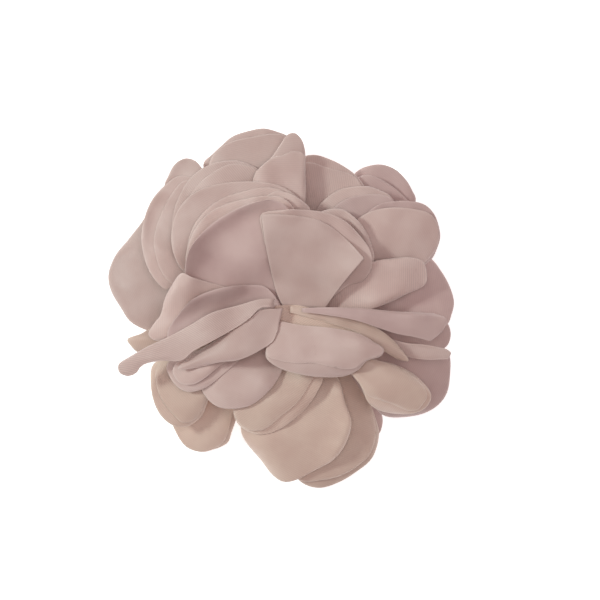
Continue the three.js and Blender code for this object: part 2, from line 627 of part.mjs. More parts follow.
function hardwareTop(x, y) {
  const r = Math.hypot(x, y);
  const inLeverX = x > leverStart - MARGIN && x < LEVER_END_X + MARGIN;
  const inLeverY = Math.abs(y) < ARM_WIDTH / 2 + MARGIN;
  const leverTop = UPPER_Z + ARM_THICK + (x + MARGIN - leverStart) * rise;
  const lever = inLeverX && inLeverY ? leverTop : FLOOR;
  const felt = r < FELT_RADIUS + MARGIN ? FELT_Z + FELT_THICK : 0;
  const base = r < BASE_RADIUS + MARGIN ? BASE_Z + BASE_THICK : 0;
  return Math.max(lever, felt, base, coreTop(Math.max(r - GAP, 0)));
}

for (let row = 0; row < COUNT; row++) {
  for (let col = 0; col < COUNT; col++) {
    reach[row * COUNT + col] = hardwareTop(col * STEP - HALF, row * STEP - HALF);
  }
}

// Weights that stand for a facet's corners and the middles of its sides, for facets so thin
// that no sample falls inside them.
const CORNERS_AND_SIDES = [
  [1, 0, 0],
  [0, 1, 0],
  [0, 0, 1],
  [0.5, 0.5, 0],
  [0, 0.5, 0.5],
  [0.5, 0, 0.5],
];

// The samples under each facet of a plan, with the weights of the facet's corners there.
function facetSamples(plan) {
  const samples = [];
  for (const [a, b, c] of CELLS) {
    const [p, q, r] = [plan[a], plan[b], plan[c]];
    const area = (q.x - p.x) * (r.y - p.y) - (r.x - p.x) * (q.y - p.y);
    const first = (value) => Math.ceil((value + HALF) / STEP);
    const last = (value) => Math.floor((value + HALF) / STEP);
    for (let row = first(Math.min(p.y, q.y, r.y)); row <= last(Math.max(p.y, q.y, r.y)); row++) {
      for (let col = first(Math.min(p.x, q.x, r.x)); col <= last(Math.max(p.x, q.x, r.x)); col++) {
        const x = col * STEP - HALF;
        const y = row * STEP - HALF;
        const wb = ((x - p.x) * (r.y - p.y) - (r.x - p.x) * (y - p.y)) / area;
        const wc = ((q.x - p.x) * (y - p.y) - (x - p.x) * (q.y - p.y)) / area;
        const wa = 1 - wb - wc;
        if (Math.min(wa, wb, wc) < -1e-6) continue;
        samples.push({ cell: row * COUNT + col, a, b, c, wa, wb, wc });
      }
    }
    for (const [wa, wb, wc] of CORNERS_AND_SIDES) {
      const col = Math.round((wa * p.x + wb * q.x + wc * r.x + HALF) / STEP);
      const row = Math.round((wa * p.y + wb * q.y + wc * r.y + HALF) / STEP);
      samples.push({ cell: row * COUNT + col, a, b, c, wa, wb, wc });
    }
  }
  return samples;
}

// Lifts the corners of every facet that would cut into what lies below it.
function clearBelow(z, samples) {
  let worst = 0;
  for (const { cell, a, b, c, wa, wb, wc } of samples) {
    const short = reach[cell] + CLOTH_AIR - (wa * z[a] + wb * z[b] + wc * z[c]);
    if (short <= 0) continue;
    worst = Math.max(worst, short);
    const push = short / (wa * wa + wb * wb + wc * wc);
    z[a] += push * wa;
    z[b] += push * wb;
    z[c] += push * wc;
  }
  return worst;
}

// The grid neighbours of corner i.
function neighbours(i) {
  const width = ACROSS + 1;
  const row = Math.floor(i / width);
  const col = i % width;
  const near = [];
  if (row > 0) near.push(i - width);
  if (row < ALONG) near.push(i + width);
  if (col > 0) near.push(i - 1);
  if (col < ACROSS) near.push(i + 1);
  return near;
}

// The samples that each corner answers for: those where it has the largest weight.
function samplesByCorner(samples, count) {
  const owned = Array.from({ length: count }, () => []);
  for (const { cell, a, b, c, wa, wb, wc } of samples) {
    const own = [[a, wa, b, wb, c, wc], [b, wb, a, wa, c, wc], [c, wc, a, wa, b, wb]];
    const [i, w, j, wj, k, wk] = own.reduce((best, each) => (each[1] > best[1] ? each : best));
    owned[i].push({ cell, w, j, wj, k, wk });
  }
  return owned;
}

// Lets each corner sink as far as the sheet's own shape and what lies below it allow.
function settle(z, free, owned) {
  for (let i = 0; i < z.length; i++) {
    const near = neighbours(i);
    const lift = near.reduce((sum, j) => sum + z[j] - free[j], 0) / near.length;
    let height = free[i] + SPRINGBACK * lift;
    for (const { cell, w, j, wj, k, wk } of owned[i]) {
      height = Math.max(height, (reach[cell] + CLOTH_AIR - wj * z[j] - wk * z[k]) / w);
    }
    z[i] = height;
  }
}

const TIP_DROOP = 3.6; // how far the tip of a petal hangs
const SIDE_DROOP = 1.8; // how far its sides do

function freeHeights({ z, cup, droop = 1 }) {
  const [root, middle, tip] = z.map((height) => LOFT_Z + (height - LOFT_Z) * LOFT);
  const heights = [];
  for (let i = 0; i <= ALONG; i++) {
    const u = i / ALONG;
    const spine = root * (1 - u) * (1 - 2 * u) + middle * 4 * u * (1 - u) + tip * u * (2 * u - 1);
    for (let j = 0; j <= ACROSS; j++) {
      const v = (2 * j) / ACROSS - 1;
      const hang = droop * (TIP_DROOP * u ** 5 + SIDE_DROOP * v ** 4 * u);
      heights.push(spine + cup * v * v * u - hang);
    }
  }
  return heights;
}

const SPRINGBACK = 0.97; // how far a lift carries from one corner to the next
const SETTLING = 80;
const SWEEPS = 200;

function lay(petal, samples) {
  const free = freeHeights(petal);
  const owned = samplesByCorner(samples, free.length);
  const z = [...free];
  for (let i = 0; i < SETTLING; i++) settle(z, free, owned);
  for (let i = 0; i < SWEEPS; i++) {
    if (clearBelow(z, samples) < 1e-4) break;
  }
  return z;
}

// Records the top of a laid petal, one sample wider all round than it is.
function raiseReach(z, samples) {
  for (const { cell, a, b, c, wa, wb, wc } of samples) {
    const top = wa * z[a] + wb * z[b] + wc * z[c] + CLOTH;
    for (const dy of [-COUNT, 0, COUNT]) {
      for (const dx of [-1, 0, 1]) {
        const near = cell + dy + dx;
        if (reach[near] < top) reach[near] = top;
      }
    }
  }
}

function petalSolid(plan, z) {
  const count = plan.length;
  const positions = [];
  plan.forEach((point, i) => positions.push(point.x, point.y, z[i] + CLOTH));
  plan.forEach((point, i) => positions.push(point.x, point.y, z[i]));
  const [p, q, r] = CELLS[0].map((i) => plan[i]);
  const turned = (q.x - p.x) * (r.y - p.y) - (r.x - p.x) * (q.y - p.y) < 0;
  const index = [];
  const face = (a, b, c) => index.push(...(turned ? [a, c, b] : [a, b, c]));
  for (const [a, b, c] of CELLS) {
    face(a, b, c);
    face(a + count, c + count, b + count);
  }
  const width = ACROSS + 1;
  const ring = [];
  for (let i = 0; i < ALONG; i++) ring.push(i * width);
  for (let j = 0; j < ACROSS; j++) ring.push(ALONG * width + j);
  for (let i = ALONG; i > 0; i--) ring.push(i * width + ACROSS);
  for (let j = ACROSS; j > 0; j--) ring.push(j);
  ring.forEach((a, k) => {
    const b = ring[(k + 1) % ring.length];
    face(b, a, a + count);
    face(b, a + count, b + count);
  });
  const geometry = new THREE.BufferGeometry();
  geometry.setAttribute("position", new THREE.Float32BufferAttribute(positions, 3));
  geometry.setIndex(index);
  geometry.computeVertexNormals();
  return geometry;
}

for (const petal of PETALS) {
  const plan = petalPlan(petal.edge);
  const samples = facetSamples(plan);
  const z = lay(petal, samples);
  raiseReach(z, samples);
  add(petal.name, petalSolid(plan, z), petal.finish);
}

export default group;
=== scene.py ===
"""A satin flower on an alligator hair clip, drawn round its CAD frame.

The flower faces +Z and the clip lies under it along X. The petals are sheets of satin that
lie on each other. They are listed from the lowest to the top one, in millimetres, with the
same edges as the CAD; everything goes to Blender in metres.
"""

import math

import bpy
import numpy as np
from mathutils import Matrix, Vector


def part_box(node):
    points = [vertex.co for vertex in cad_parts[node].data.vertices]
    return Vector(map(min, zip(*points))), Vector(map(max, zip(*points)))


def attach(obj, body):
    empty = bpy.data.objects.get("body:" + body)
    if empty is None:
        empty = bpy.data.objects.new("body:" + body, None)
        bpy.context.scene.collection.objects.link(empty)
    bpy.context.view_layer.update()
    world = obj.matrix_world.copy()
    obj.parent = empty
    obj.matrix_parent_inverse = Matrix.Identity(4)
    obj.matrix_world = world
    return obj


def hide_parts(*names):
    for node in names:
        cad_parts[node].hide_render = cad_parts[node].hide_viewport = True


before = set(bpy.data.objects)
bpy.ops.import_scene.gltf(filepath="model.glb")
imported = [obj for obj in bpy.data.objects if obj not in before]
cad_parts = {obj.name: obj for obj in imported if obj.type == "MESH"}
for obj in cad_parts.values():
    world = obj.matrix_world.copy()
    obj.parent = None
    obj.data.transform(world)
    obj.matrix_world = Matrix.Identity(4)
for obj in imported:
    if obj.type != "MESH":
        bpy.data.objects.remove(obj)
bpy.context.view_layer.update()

MM = 0.001
FLOWER = "flower_and_upper_arm"
LOWER_ARM = "lower_arm"
# the mauve slot is partly painted shade and the beige slot partly painted light, on top of the satin's
# own colours
PINK, BEIGE_LIT, MAUVE_SHADED = "satin_pink", "satin_beige", "satin_mauve"

PETAL_THICK = 0.26  # two plies of satin
CAD_CLOTH = 0.35  # thickness of a petal's CAD solid
AIR = 0.06  # between two petals that touch
RIB_PITCH = 0.57  # from one rib of the satin to the next

petals = []


def petal(name, slot, edge, ribs=None, rib_turn=0, rib_depth=0.4, curls=(), painted_light_tint=1.0,
          ply_of=None):
    """One petal. edge runs from a root corner round the tip to the other root corner.

    ribs is the direction of the satin's ribs in degrees, and rib_turn how far it turns from
    root to tip. Each of curls is (rise, width, from, to): the edge between those two points
    stands up, or rolls down where the rise is negative. Its tint sets how light the petal's
    colour is painted against the rest of its colour: partly the cloth's own colour, partly painted
    light and shade that evens out each petal's brightness. ply_of names the petal that a second
    ply belongs to.
    """
    if ribs is None:
        middle = np.mean(edge, axis=0)
        ribs = math.degrees(math.atan2(middle[1], middle[0])) + 90
    petals.append(dict(
        name=name, slot=slot, edge=edge, ribs=ribs, rib_turn=rib_turn, rib_depth=rib_depth,
        curls=curls, painted_light_tint=painted_light_tint, ply_of=ply_of,
    ))


# ---- the petals' outlines, the lowest first ----
petal("petal_low_right_back", MAUVE_SHADED, [
    (6, -8), (21, -17), (28, -26), (31, -32.5), (31, -35.5), (29.5, -38.5), (21, -39), (9, -27),
    (2, -10),
])
petal("petal_low_left_under", BEIGE_LIT, [
    (-6, -8), (-17, -13), (-28, -23), (-32.5, -33), (-31, -38), (-28, -41.7), (-24, -43),
    (-20.5, -42.8), (-17.3, -41.6), (-15.8, -40.4), (-14.8, -37.5), (-13, -32.5), (-8, -18),
    (-2, -9.5),
], ply_of='petal_low_left')
petal("petal_low_left", BEIGE_LIT, [
    (-6, -8), (-17, -13), (-28, -23), (-33, -33), (-31.5, -38), (-28.5, -42), (-24, -43.5),
    (-20, -42.5), (-17, -40), (-15.5, -36), (-14, -30), (-8, -16), (-2, -9.5),
], painted_light_tint=1.05)
petal("petal_low_right", BEIGE_LIT, [
    (5, -8), (18, -16), (26, -26), (29, -33.5), (30, -38), (28, -45), (23, -49.5), (17, -53),
    (12, -54.3), (7, -53), (2, -47), (-1, -36), (-1, -18), (0, -10),
], painted_light_tint=0.94)
petal("petal_low_right_over", BEIGE_LIT, [
    (5, -8), (18, -16), (26, -26), (28.5, -33.5), (29, -38), (27, -44.2), (22.5, -48.3), (18, -50.7),
    (12, -52), (6, -52), (2, -46.5), (-0.5, -36), (-0.5, -18), (0, -10),
], ply_of='petal_low_right')
petal("petal_left", PINK, [
    (-9, 3), (-20, 20), (-30, 31), (-38, 31.5), (-42, 26), (-46, 21), (-50, 16), (-52, 10),
    (-51, 5), (-48, 0), (-45, -4), (-38, -7), (-25, -7.5), (-10, -3),
], painted_light_tint=0.9, ribs=60, curls=[(-0.9, 1.8, (-42, 26), (-45, -4))])
petal("petal_top_right_back", MAUVE_SHADED, [
    (6, 8), (14, 26), (20, 37.5), (23.5, 41.8), (27, 43.3), (31, 43.6), (35, 42), (38, 39),
    (40, 35.5), (41, 33), (36, 22), (24, 11), (10, 4),
])
petal("petal_top_right", MAUVE_SHADED, [
    (6, 7.5), (14, 24), (20, 36.5), (25, 40.3), (29, 39.7), (33, 37.5), (37, 34.3), (39, 31.5),
    (33, 20), (22, 9), (10, 3.5),
])
petal("petal_top", PINK, [
    (1, 10), (3, 27), (6, 45), (10, 46.4), (15, 45), (19.5, 42.7), (23, 40), (25.5, 36), (22, 24),
    (13, 12), (6, 8),
], ribs=82, rib_depth=0.7, painted_light_tint=1.0)
petal("petal_top_over", PINK, [
    (1, 10), (3, 27), (6, 43.3), (10, 43.9), (13, 42.8), (17, 41.8), (20, 41), (22.7, 39.6),
    (24.6, 36), (21.5, 24), (13, 12), (6, 8),
], ribs=82, rib_depth=0.7, ply_of='petal_top')
petal("petal_top_left_back", PINK, [
    (-5, 9), (-14, 25), (-22, 39), (-23, 44), (-20.5, 46.5), (-17.5, 49.3), (-14.5, 51.8),
    (-10, 53.4), (-5, 54.3), (-1, 53.4), (2.5, 51.8), (5, 45), (5, 28), (2, 10),
], painted_light_tint=0.97)
petal("petal_top_left_front", PINK, [
    (-5, 8.5), (-13, 24), (-21, 38), (-21, 44.5), (-18, 48.3), (-14, 50.5), (-8, 51.8), (-2, 52.7),
    (1.5, 52), (4.5, 45), (4.5, 28), (2, 9.5),
], painted_light_tint=0.94)
petal("petal_upper_left", PINK, [
    (-6, 8), (-18, 20), (-29, 30), (-34.7, 36.5), (-33.5, 40), (-31.5, 43.5), (-28.5, 45.2),
    (-25.5, 44.5), (-23.3, 42), (-15, 28), (-7, 15), (-2, 9.5),
], ribs=40, curls=[(1.6, 3.6, (-34.5, 37), (-28, 45))], painted_light_tint=0.95)
petal("petal_right_low_back", MAUVE_SHADED, [
    (9, -5), (24, -8), (40, -11.5), (50, -12), (51.4, -14), (51.5, -20), (50.5, -25.5), (48, -29),
    (44, -31.5), (38, -32.8), (31.5, -32.3), (27, -28), (18, -16), (7, -8),
])
petal("petal_right_narrow", MAUVE_SHADED, [
    (13, -1), (30, 1), (45, -1), (50.3, -4), (51.5, -7.5), (50.5, -11), (48, -12.5), (35, -11),
    (20, -6.5), (13, -5),
])
petal("petal_right", MAUVE_SHADED, [
    (12, 6), (24, 12), (38, 17), (45, 15.5), (48.5, 11.5), (51, 7), (52.4, 2), (51.7, -1.5),
    (50, -5), (43, -5.5), (25, -3), (13, -2),
], painted_light_tint=1.08)
petal("petal_upper_right_outer", PINK, [
    (7, 11), (8.5, 20), (11, 30), (14, 33.3), (18, 35.8), (22, 36.6), (26, 36.8), (30, 35.6),
    (33.5, 33.3), (31, 20), (22, 11), (13, 6),
])
petal("petal_upper_right_inner", MAUVE_SHADED, [
    (8, 10), (11, 20), (15, 29), (19, 32.5), (24, 34), (29, 34.4), (32.5, 33.6), (34.3, 32),
    (31, 20), (22, 11), (13, 5.5),
], painted_light_tint=0.94)
petal("petal_right_high_back", MAUVE_SHADED, [
    (11, 9), (20, 22), (29, 31), (34, 32.2), (39, 32.3), (43.5, 31.2), (46.2, 28.5), (47.6, 25),
    (48.1, 21.5), (47.3, 18.5), (45.5, 15), (35, 8), (22, 4), (14, 4),
])
petal("petal_right_high_front", PINK, [
    (11, 8.5), (17, 20), (24, 27.5), (29, 29.7), (35, 30.3), (40, 29.9), (44.5, 28.7),
    (46.7, 26.5), (47.6, 22), (47, 18.5), (44.5, 15), (35, 8), (22, 3.5), (14, 3.5),
], painted_light_tint=1.02)
petal("petal_bottom", BEIGE_LIT, [
    (4, -8), (12, -14), (17.5, -21), (19.5, -28), (21.4, -34), (20, -40), (16, -45.5), (10, -49),
    (4.5, -51.8), (1, -52.3), (-2, -50.5), (-6, -45.5), (-10, -40.5), (-11.8, -36.5), (-10, -26),
    (-6, -15), (-2, -9),
], painted_light_tint=1.05, ribs=-30, rib_depth=0.5, curls=[(3.2, 8.0, (14, -17), (13, -47))])
petal("petal_low_left_front", BEIGE_LIT, [
    (-6, -5), (-20, -8), (-33, -13.5), (-38.5, -17), (-39, -22), (-38.2, -27.5), (-36, -32),
    (-32.5, -35), (-29, -35.5), (-26.5, -34.7), (-23.5, -32), (-21, -26.5), (-13, -19), (-6, -11),
    (-3, -8),
], painted_light_tint=1.05, curls=[(1.4, 2.6, (-38.5, -17), (-29, -35.5))])
petal("petal_low_left_front_over", BEIGE_LIT, [
    (-6, -5), (-20, -8), (-31.5, -13), (-37, -17), (-37.3, -22.5), (-35.6, -27.6), (-32.6, -31.4),
    (-29.6, -34.2), (-27, -34), (-24.2, -31.7), (-21.8, -26.5), (-13.5, -19), (-6.5, -11), (-3, -8),
], ply_of='petal_low_left_front')
petal("petal_left_high", PINK, [
    (-5, 7), (-14, 26), (-24, 38), (-30, 40), (-34.5, 37), (-38.5, 32.5), (-40.7, 27), (-41.5, 21),
    (-40.3, 14), (-37.5, 8.8), (-34, 5.8), (-31, 7), (-20, 7.5), (-9, 4),
], painted_light_tint=1.0, ribs=55, curls=[(2.0, 3.4, (-34, 37.5), (-40.5, 15))])
petal("petal_left_high_over", PINK, [
    (-5, 7), (-14, 26), (-24, 37.6), (-28.5, 38.6), (-32, 35), (-35, 30), (-37, 25), (-37.8, 20),
    (-36.8, 14.6), (-34.8, 10), (-32, 7.4), (-29, 7.6), (-20, 7.9), (-9, 4),
], ribs=55, painted_light_tint=0.98, ply_of='petal_left_high')
petal("petal_right_low_front", BEIGE_LIT, [
    (11, -8), (19, -11), (28, -15), (34, -16.5), (40, -19.5), (44.5, -24), (45.3, -26.5),
    (43.8, -29.5), (40.5, -31.2), (36, -31.5), (30, -30.5), (26.5, -28), (23.5, -22), (15, -14),
    (9, -11),
], painted_light_tint=1.06)
petal("petal_right_low_front_over", BEIGE_LIT, [
    (11, -8), (19, -11), (28, -15), (34, -16.8), (39.5, -19.8), (43.4, -24), (44, -26.2),
    (42.8, -28.4), (40.8, -30.4), (38, -30.3), (35, -28.8), (30, -27.2), (26, -25.5), (23, -21),
    (15, -14), (9, -11),
], ply_of='petal_right_low_front')
petal("petal_upper_left_ply_1", PINK, [
    (-9, 9), (-16, 15), (-29, 16), (-32, 22), (-32, 28), (-30, 34), (-27, 39), (-22.5, 42.5),
    (-17, 44.2), (-13, 44.4), (-9, 43.2), (-6, 41.3), (-2, 30), (-3, 13),
], ribs=-50, rib_depth=0.8, painted_light_tint=0.95)
petal("petal_upper_left_ply_1_over", PINK, [
    (-9, 9), (-16, 15), (-27, 17), (-29.4, 22), (-29.4, 28), (-27.4, 33), (-24, 37.6), (-20, 40.8),
    (-16, 43), (-13, 43.4), (-9, 42.6), (-6.4, 41), (-2.4, 30), (-3, 13),
], ribs=-50, rib_depth=0.8, painted_light_tint=0.97, ply_of='petal_upper_left_ply_1')
petal("petal_top_pocket", PINK, [
    (-4, 13), (-8, 30), (-7, 40), (-3, 44.5), (0, 49), (2.3, 52.2), (4.3, 52.7), (6.3, 51),
    (7.4, 48), (7.6, 42), (7.5, 30), (5, 20), (3, 13),
], painted_light_tint=0.95)
petal("petal_top_pocket_over", PINK, [
    (-4, 13), (-8, 30), (-8, 38.5), (-7, 41), (-5, 43), (-2, 45.3), (1, 46), (3, 47), (6, 47),
    (7.2, 46.2), (7.4, 42), (7.3, 30), (5, 20), (3, 13),
], ply_of='petal_top_pocket')
petal("petal_upper_left_ply_2", PINK, [
    (-10, 6), (-18, 8.5), (-28.5, 11), (-31.5, 16), (-32.4, 21.5), (-31.5, 27), (-29, 31.5),
    (-25, 35), (-19, 37.2), (-12, 38), (-5, 37.8), (1, 36.3), (6.5, 32), (8, 25), (4, 12),
], painted_light_tint=0.95)
petal("petal_upper_left_ply_3", PINK, [
    (-9, 6), (-17, 8.5), (-27, 13.5), (-27.5, 19), (-25.5, 25), (-22, 29.5), (-17, 33), (-11, 35),
    (-5, 36.2), (0, 35.5), (4, 33), (7.5, 29), (8, 23), (4, 11),
])
petal("petal_top_crescent_outer", PINK, [
    (-1, 12), (-5, 21), (-5, 32), (-1.5, 35), (3, 34.3), (6.5, 32.3), (9, 29.8), (9.5, 23),
    (5, 12),
])
petal("petal_upper_left_ply_4", PINK, [
    (-8, 5), (-17, 7.5), (-27.5, 12.5), (-27.5, 18), (-25, 24), (-21, 28.7), (-16, 31.2),
    (-10, 32.8), (-4, 33.6), (0, 33.2), (3.5, 31), (5, 28), (6.5, 22), (3.5, 10),
])
petal("petal_top_crescent_inner", PINK, [
    (-2, 11), (-7, 19), (-7.5, 29), (-4.5, 32.5), (-1, 33.6), (2, 32.2), (4.3, 29.5), (5.5, 21),
    (3, 11),
])
petal("petal_centre_dish", MAUVE_SHADED, [
    (-4, -1), (-14, 3), (-24, 4.5), (-27.5, 7.5), (-28, 12), (-26.8, 17), (-23.5, 22), (-19, 26),
    (-13, 29.5), (-7, 31.6), (-2, 32.2), (1.5, 30.7), (4, 27.5), (5.5, 20), (5, 2),
], painted_light_tint=1.06, curls=[(1.7, 5.0, (-27, 6.3), (3.5, 28.5))], rib_depth=0.1)
petal("petal_centre_right_rim", PINK, [
    (6, 9), (8, 20), (11, 28), (15, 29.8), (19, 29.5), (22.5, 27), (25.3, 23.5), (27.5, 18.5),
    (27.8, 14), (20, 8), (11, 5),
], curls=[(3.4, 9.0, (19, 29.5), (24, 11))], painted_light_tint=0.96)
petal("petal_right_ribbed", PINK, [
    (11, 4), (15, 6.5), (22, 11.5), (28, 14.2), (33, 15), (39, 15.4), (42.5, 14.4), (43.8, 11.5),
    (43.5, 7.5), (38, 4.5), (32, 1.7), (26, -0.2), (18, -0.8), (12, -0.5),
], painted_light_tint=1.06, ribs=92, rib_depth=1.0)
petal("petal_fan_back", PINK, [
    (1, 2), (-2, 12), (-5, 22), (-5.5, 28), (0, 29.2), (7, 29.4), (14, 28.5), (19.5, 26),
    (24, 21.5), (27.2, 16.5), (27, 11.5), (24.5, 8.2), (21, 7.3), (13, 1.5),
], curls=[(-0.8, 1.6, (27.8, 14), (21.8, 7.5))])
petal("petal_fan", PINK, [
    (1, 0.5), (-1, 5), (-3, 13), (-4.5, 21), (-5.5, 28), (-5.5, 28), (0, 28), (6, 27.5),
    (11.5, 26.3), (16.5, 23.5), (21, 19.5), (25, 15), (25, 15), (21.5, 11), (17.5, 6), (13.5, 0.3),
], ribs=100, rib_depth=0.2, curls=[(-0.8, 3.0, (-4, 28), (23, 17))], painted_light_tint=0.96)
petal("petal_lower_mid", BEIGE_LIT, [
    (4, -9.5), (9.5, -13.5), (13, -20), (11, -25), (7.5, -30), (3, -34), (-2, -37), (-6, -37.7),
    (-10, -36.5), (-12.7, -34.3), (-14, -30), (-11, -22), (-7, -14), (-3, -10),
], painted_light_tint=1.1, ribs=35, rib_depth=0.7)
petal("petal_lower_mid_over", BEIGE_LIT, [
    (4, -9.5), (9, -13.5), (10.8, -17), (10, -20.3), (8.5, -23), (6, -27), (3, -30), (0, -32.3),
    (-3, -35), (-5, -36.2), (-8, -36.6), (-10, -36), (-12.5, -34), (-13.8, -30), (-11, -22), (-7, -14),
    (-3, -10),
], ribs=35, rib_depth=0.7, ply_of='petal_lower_mid')
petal("petal_lower_left_broad", PINK, [
    (-1, -9), (0.5, -12.5), (1, -17), (-1, -21.5), (-5, -26), (-9, -28.8), (-15, -29.8),
    (-19, -29), (-22, -26.5), (-23.5, -23.5), (-20, -18), (-13, -12), (-7, -8),
])
petal("petal_left_tip_back", BEIGE_LIT, [
    (-16, -6.5), (-28, -6), (-38, -5.5), (-42, -7.5), (-46, -9.2), (-44.8, -11.2), (-42.5, -13.2),
    (-34, -13), (-22, -11), (-15, -9.5),
])
petal("petal_left_shoulder", PINK, [
    (-8, 4), (-16, 6.5), (-26, 9.5), (-29, 10.7), (-32.5, 6.5), (-34.5, 2.5), (-35.5, -1.5),
    (-38, -5), (-39.3, -7.5), (-37.5, -9.3), (-34, -9), (-24, -6), (-14, -3.5), (-8, -1.5),
], curls=[(-1.6, 2.6, (-35.5, -1.5), (-30, 10))], painted_light_tint=1.04)
petal("petal_left_cup", MAUVE_SHADED, [
    (-1.4, 3.9), (-4.5, 6.7), (-9, 7.2), (-15, 6.7), (-21, 5.2), (-26, 2.7), (-30, -1.5),
    (-33.3, -6.5), (-33, -9), (-26, -9), (-17, -5.5), (-8, -3), (0.6, 0.5),
], curls=[(2.0, 4.4, (-30, -1.5), (-9, 7.2))], rib_depth=0.2)
petal("petal_lower_left_outer", PINK, [
    (-11, -8.5), (-20, -11), (-33, -15.5), (-34, -17.5), (-33, -20.3), (-31, -23), (-28.5, -24.6),
    (-25.5, -24.7), (-21, -22.7), (-17, -19.5), (-13, -16), (-9, -12.5),
])
petal("petal_lower_left_inner", PINK, [
    (-10, -8), (-18, -10.5), (-30, -15.5), (-32, -18), (-31, -21), (-29, -22.4), (-25.5, -22.3),
    (-22, -20.3), (-18, -17), (-14, -14.5), (-9, -11.5),
])
petal("petal_right_strip", PINK, [
    (19, -5.5), (30, -8), (38, -10.2), (44, -10.8), (50, -12), (50, -12), (51.3, -13.2),
    (50.5, -15), (50.5, -15), (44, -15.2), (37.5, -14.2), (29, -11.5), (19, -8),
], painted_light_tint=0.94)
petal("petal_centre_right_bright", BEIGE_LIT, [
    (-1.5, 1), (5, 1.2), (11, -0.3), (16, -2.2), (21, -4.7), (25, -7.5), (20, -8.5), (10, -7.5),
    (-1.5, -5.5),
], ribs=38, rib_depth=1.0, painted_light_tint=1.1)
petal("petal_right_fold", BEIGE_LIT, [
    (3, 0.9), (12, -0.5), (20, -2), (25, -3.8), (30, -6.3), (34, -9.5), (37, -13), (37, -13),
    (38.5, -15.5), (35.5, -15.2), (35.5, -15.2), (31, -12.5), (27.5, -10), (24, -7.5), (14, -4),
    (3, -1),
], ribs=20, rib_depth=0.4)
petal("petal_right_top", MAUVE_SHADED, [
    (6.5, 0.3), (12, 0.5), (17.5, 0.5), (26, 0.1), (33, -0.6), (40, -1), (46, -1.3), (46, -1.3),
    (49.8, -3), (49, -6), (45, -9.6), (45, -9.6), (40, -8.3), (35, -7.4), (30, -5.8), (22, -3.2),
    (12, -1.5), (6.5, -0.9),
], rib_depth=0.1, painted_light_tint=1.0)
petal("petal_front_centre", PINK, [
    (0, -3.5), (6, -4.7), (12, -5.2), (18, -6), (24, -7.5), (28, -9.8), (31, -12), (30, -14),
    (26, -15.3), (23, -18.3), (19, -20), (12, -20.2), (6, -19.3), (0, -17.5), (-4, -14.5),
    (-4, -11.5), (-2.5, -8.5),
], painted_light_tint=0.95)
petal("petal_front_centre_over", PINK, [
    (0, -3.5), (6, -4.7), (12, -5.2), (18, -6), (24, -7.5), (28, -9.8), (30.7, -12), (29.8, -13.7),
    (27, -14.6), (25, -15.5), (23, -17.2), (20, -17.8), (15, -17), (10, -16), (5, -16), (0, -15.3),
    (-3.8, -13.8), (-4, -11.5), (-2.5, -8.5),
], ply_of='petal_front_centre')
petal("petal_front_left", PINK, [
    (1, 0.3), (-6, -0.5), (-9, -3), (-14, -6), (-20, -9.8), (-25, -13), (-30.3, -17.7),
    (-25, -17.5), (-18, -15.8), (-12, -15), (-6, -12.3), (-2, -9.5), (-0.7, -6.5),
], painted_light_tint=0.95)
petal("petal_front_long_left", PINK, [
    (-1.5, 3), (-5.5, 3), (-12, 1.2), (-20, -1), (-27, -5), (-33, -8.2), (-39, -11), (-44.5, -14),
    (-44.5, -14), (-48.2, -16.7), (-47.8, -19), (-45.5, -20.1), (-45.5, -20.1), (-43, -19.3),
    (-41, -16.8), (-36, -15.4), (-29, -15.2), (-26, -12.7), (-20, -9.5), (-13.5, -5.8), (-9, -2.8),
    (-5.5, 0.5), (-2, 0.5),
], ribs=-48, rib_turn=34, rib_depth=1.0, painted_light_tint=0.96)


# ---- plan of a petal, as the CAD draws it ----
CAD_ALONG, CAD_ACROSS = 7, 5
TIP_SHARE = 0.28
SPAN_STEPS = 10


def spline(points):
    """A centripetal Catmull-Rom curve through the points, as a fine line."""
    p = np.array(points, float)
    p = np.vstack([2 * p[0] - p[1], p, 2 * p[-1] - p[-2]])
    line = [p[1]]
    for p0, p1, p2, p3 in zip(p, p[1:], p[2:], p[3:]):
        d0, d1, d2 = (np.sum((b - a) ** 2) ** 0.25 for a, b in ((p0, p1), (p1, p2), (p2, p3)))
        t1 = ((p1 - p0) / d0 - (p2 - p0) / (d0 + d1) + (p2 - p1) / d1) * d1
        t2 = ((p2 - p1) / d1 - (p3 - p1) / (d1 + d2) + (p3 - p2) / d2) * d1
        for k in range(1, SPAN_STEPS + 1):
            s = k / SPAN_STEPS
            square = 3 * (p2 - p1) - 2 * t1 - t2
            cube = 2 * (p1 - p2) + t1 + t2
            line.append(p1 + s * t1 + s**2 * square + s**3 * cube)
    return np.array(line)


def fine_edge(points):
    """The edge as a fine line, the share of its length at each point, and its sharp corners."""
    runs = [[points[0]]]
    for before, point in zip(points, points[1:]):
        if point == before:
            runs.append([point])
        else:
            runs[-1].append(point)
    line = spline(runs[0])
    corners = []
    for run in runs[1:]:
        corners.append(len(line) - 1)
        line = np.vstack([line, spline(run)[1:]])
    share = np.concatenate([[0], np.cumsum(np.linalg.norm(np.diff(line, axis=0), axis=1))])
    share /= share[-1]
    return line, share, [share[i] for i in corners]


def plan(edge, us, vs):
    """Points in the petal's plan: us from root to tip, vs from side to side."""
    line, share, corners = edge
    left, right = corners if len(corners) == 2 else (0.5 - TIP_SHARE / 2, 0.5 + TIP_SHARE / 2)

    def at(s):
        return np.stack([np.interp(s, share, line[:, k]) for k in (0, 1)], axis=-1)

    u, v = us[:, None, None], vs[None, :, None]
    sides = at(left * us)[:, None] * (1 - v) + at(1 - (1 - right) * us)[:, None] * v
    near = at(0.0) * (1 - v) + at(1.0) * v
    far = at(left + (right - left) * vs)[None]
    far_straight = at(left) * (1 - v) + at(right) * v
    ends = near * (1 - u) + far * u
    return sides + ends - near * (1 - u) - far_straight * u


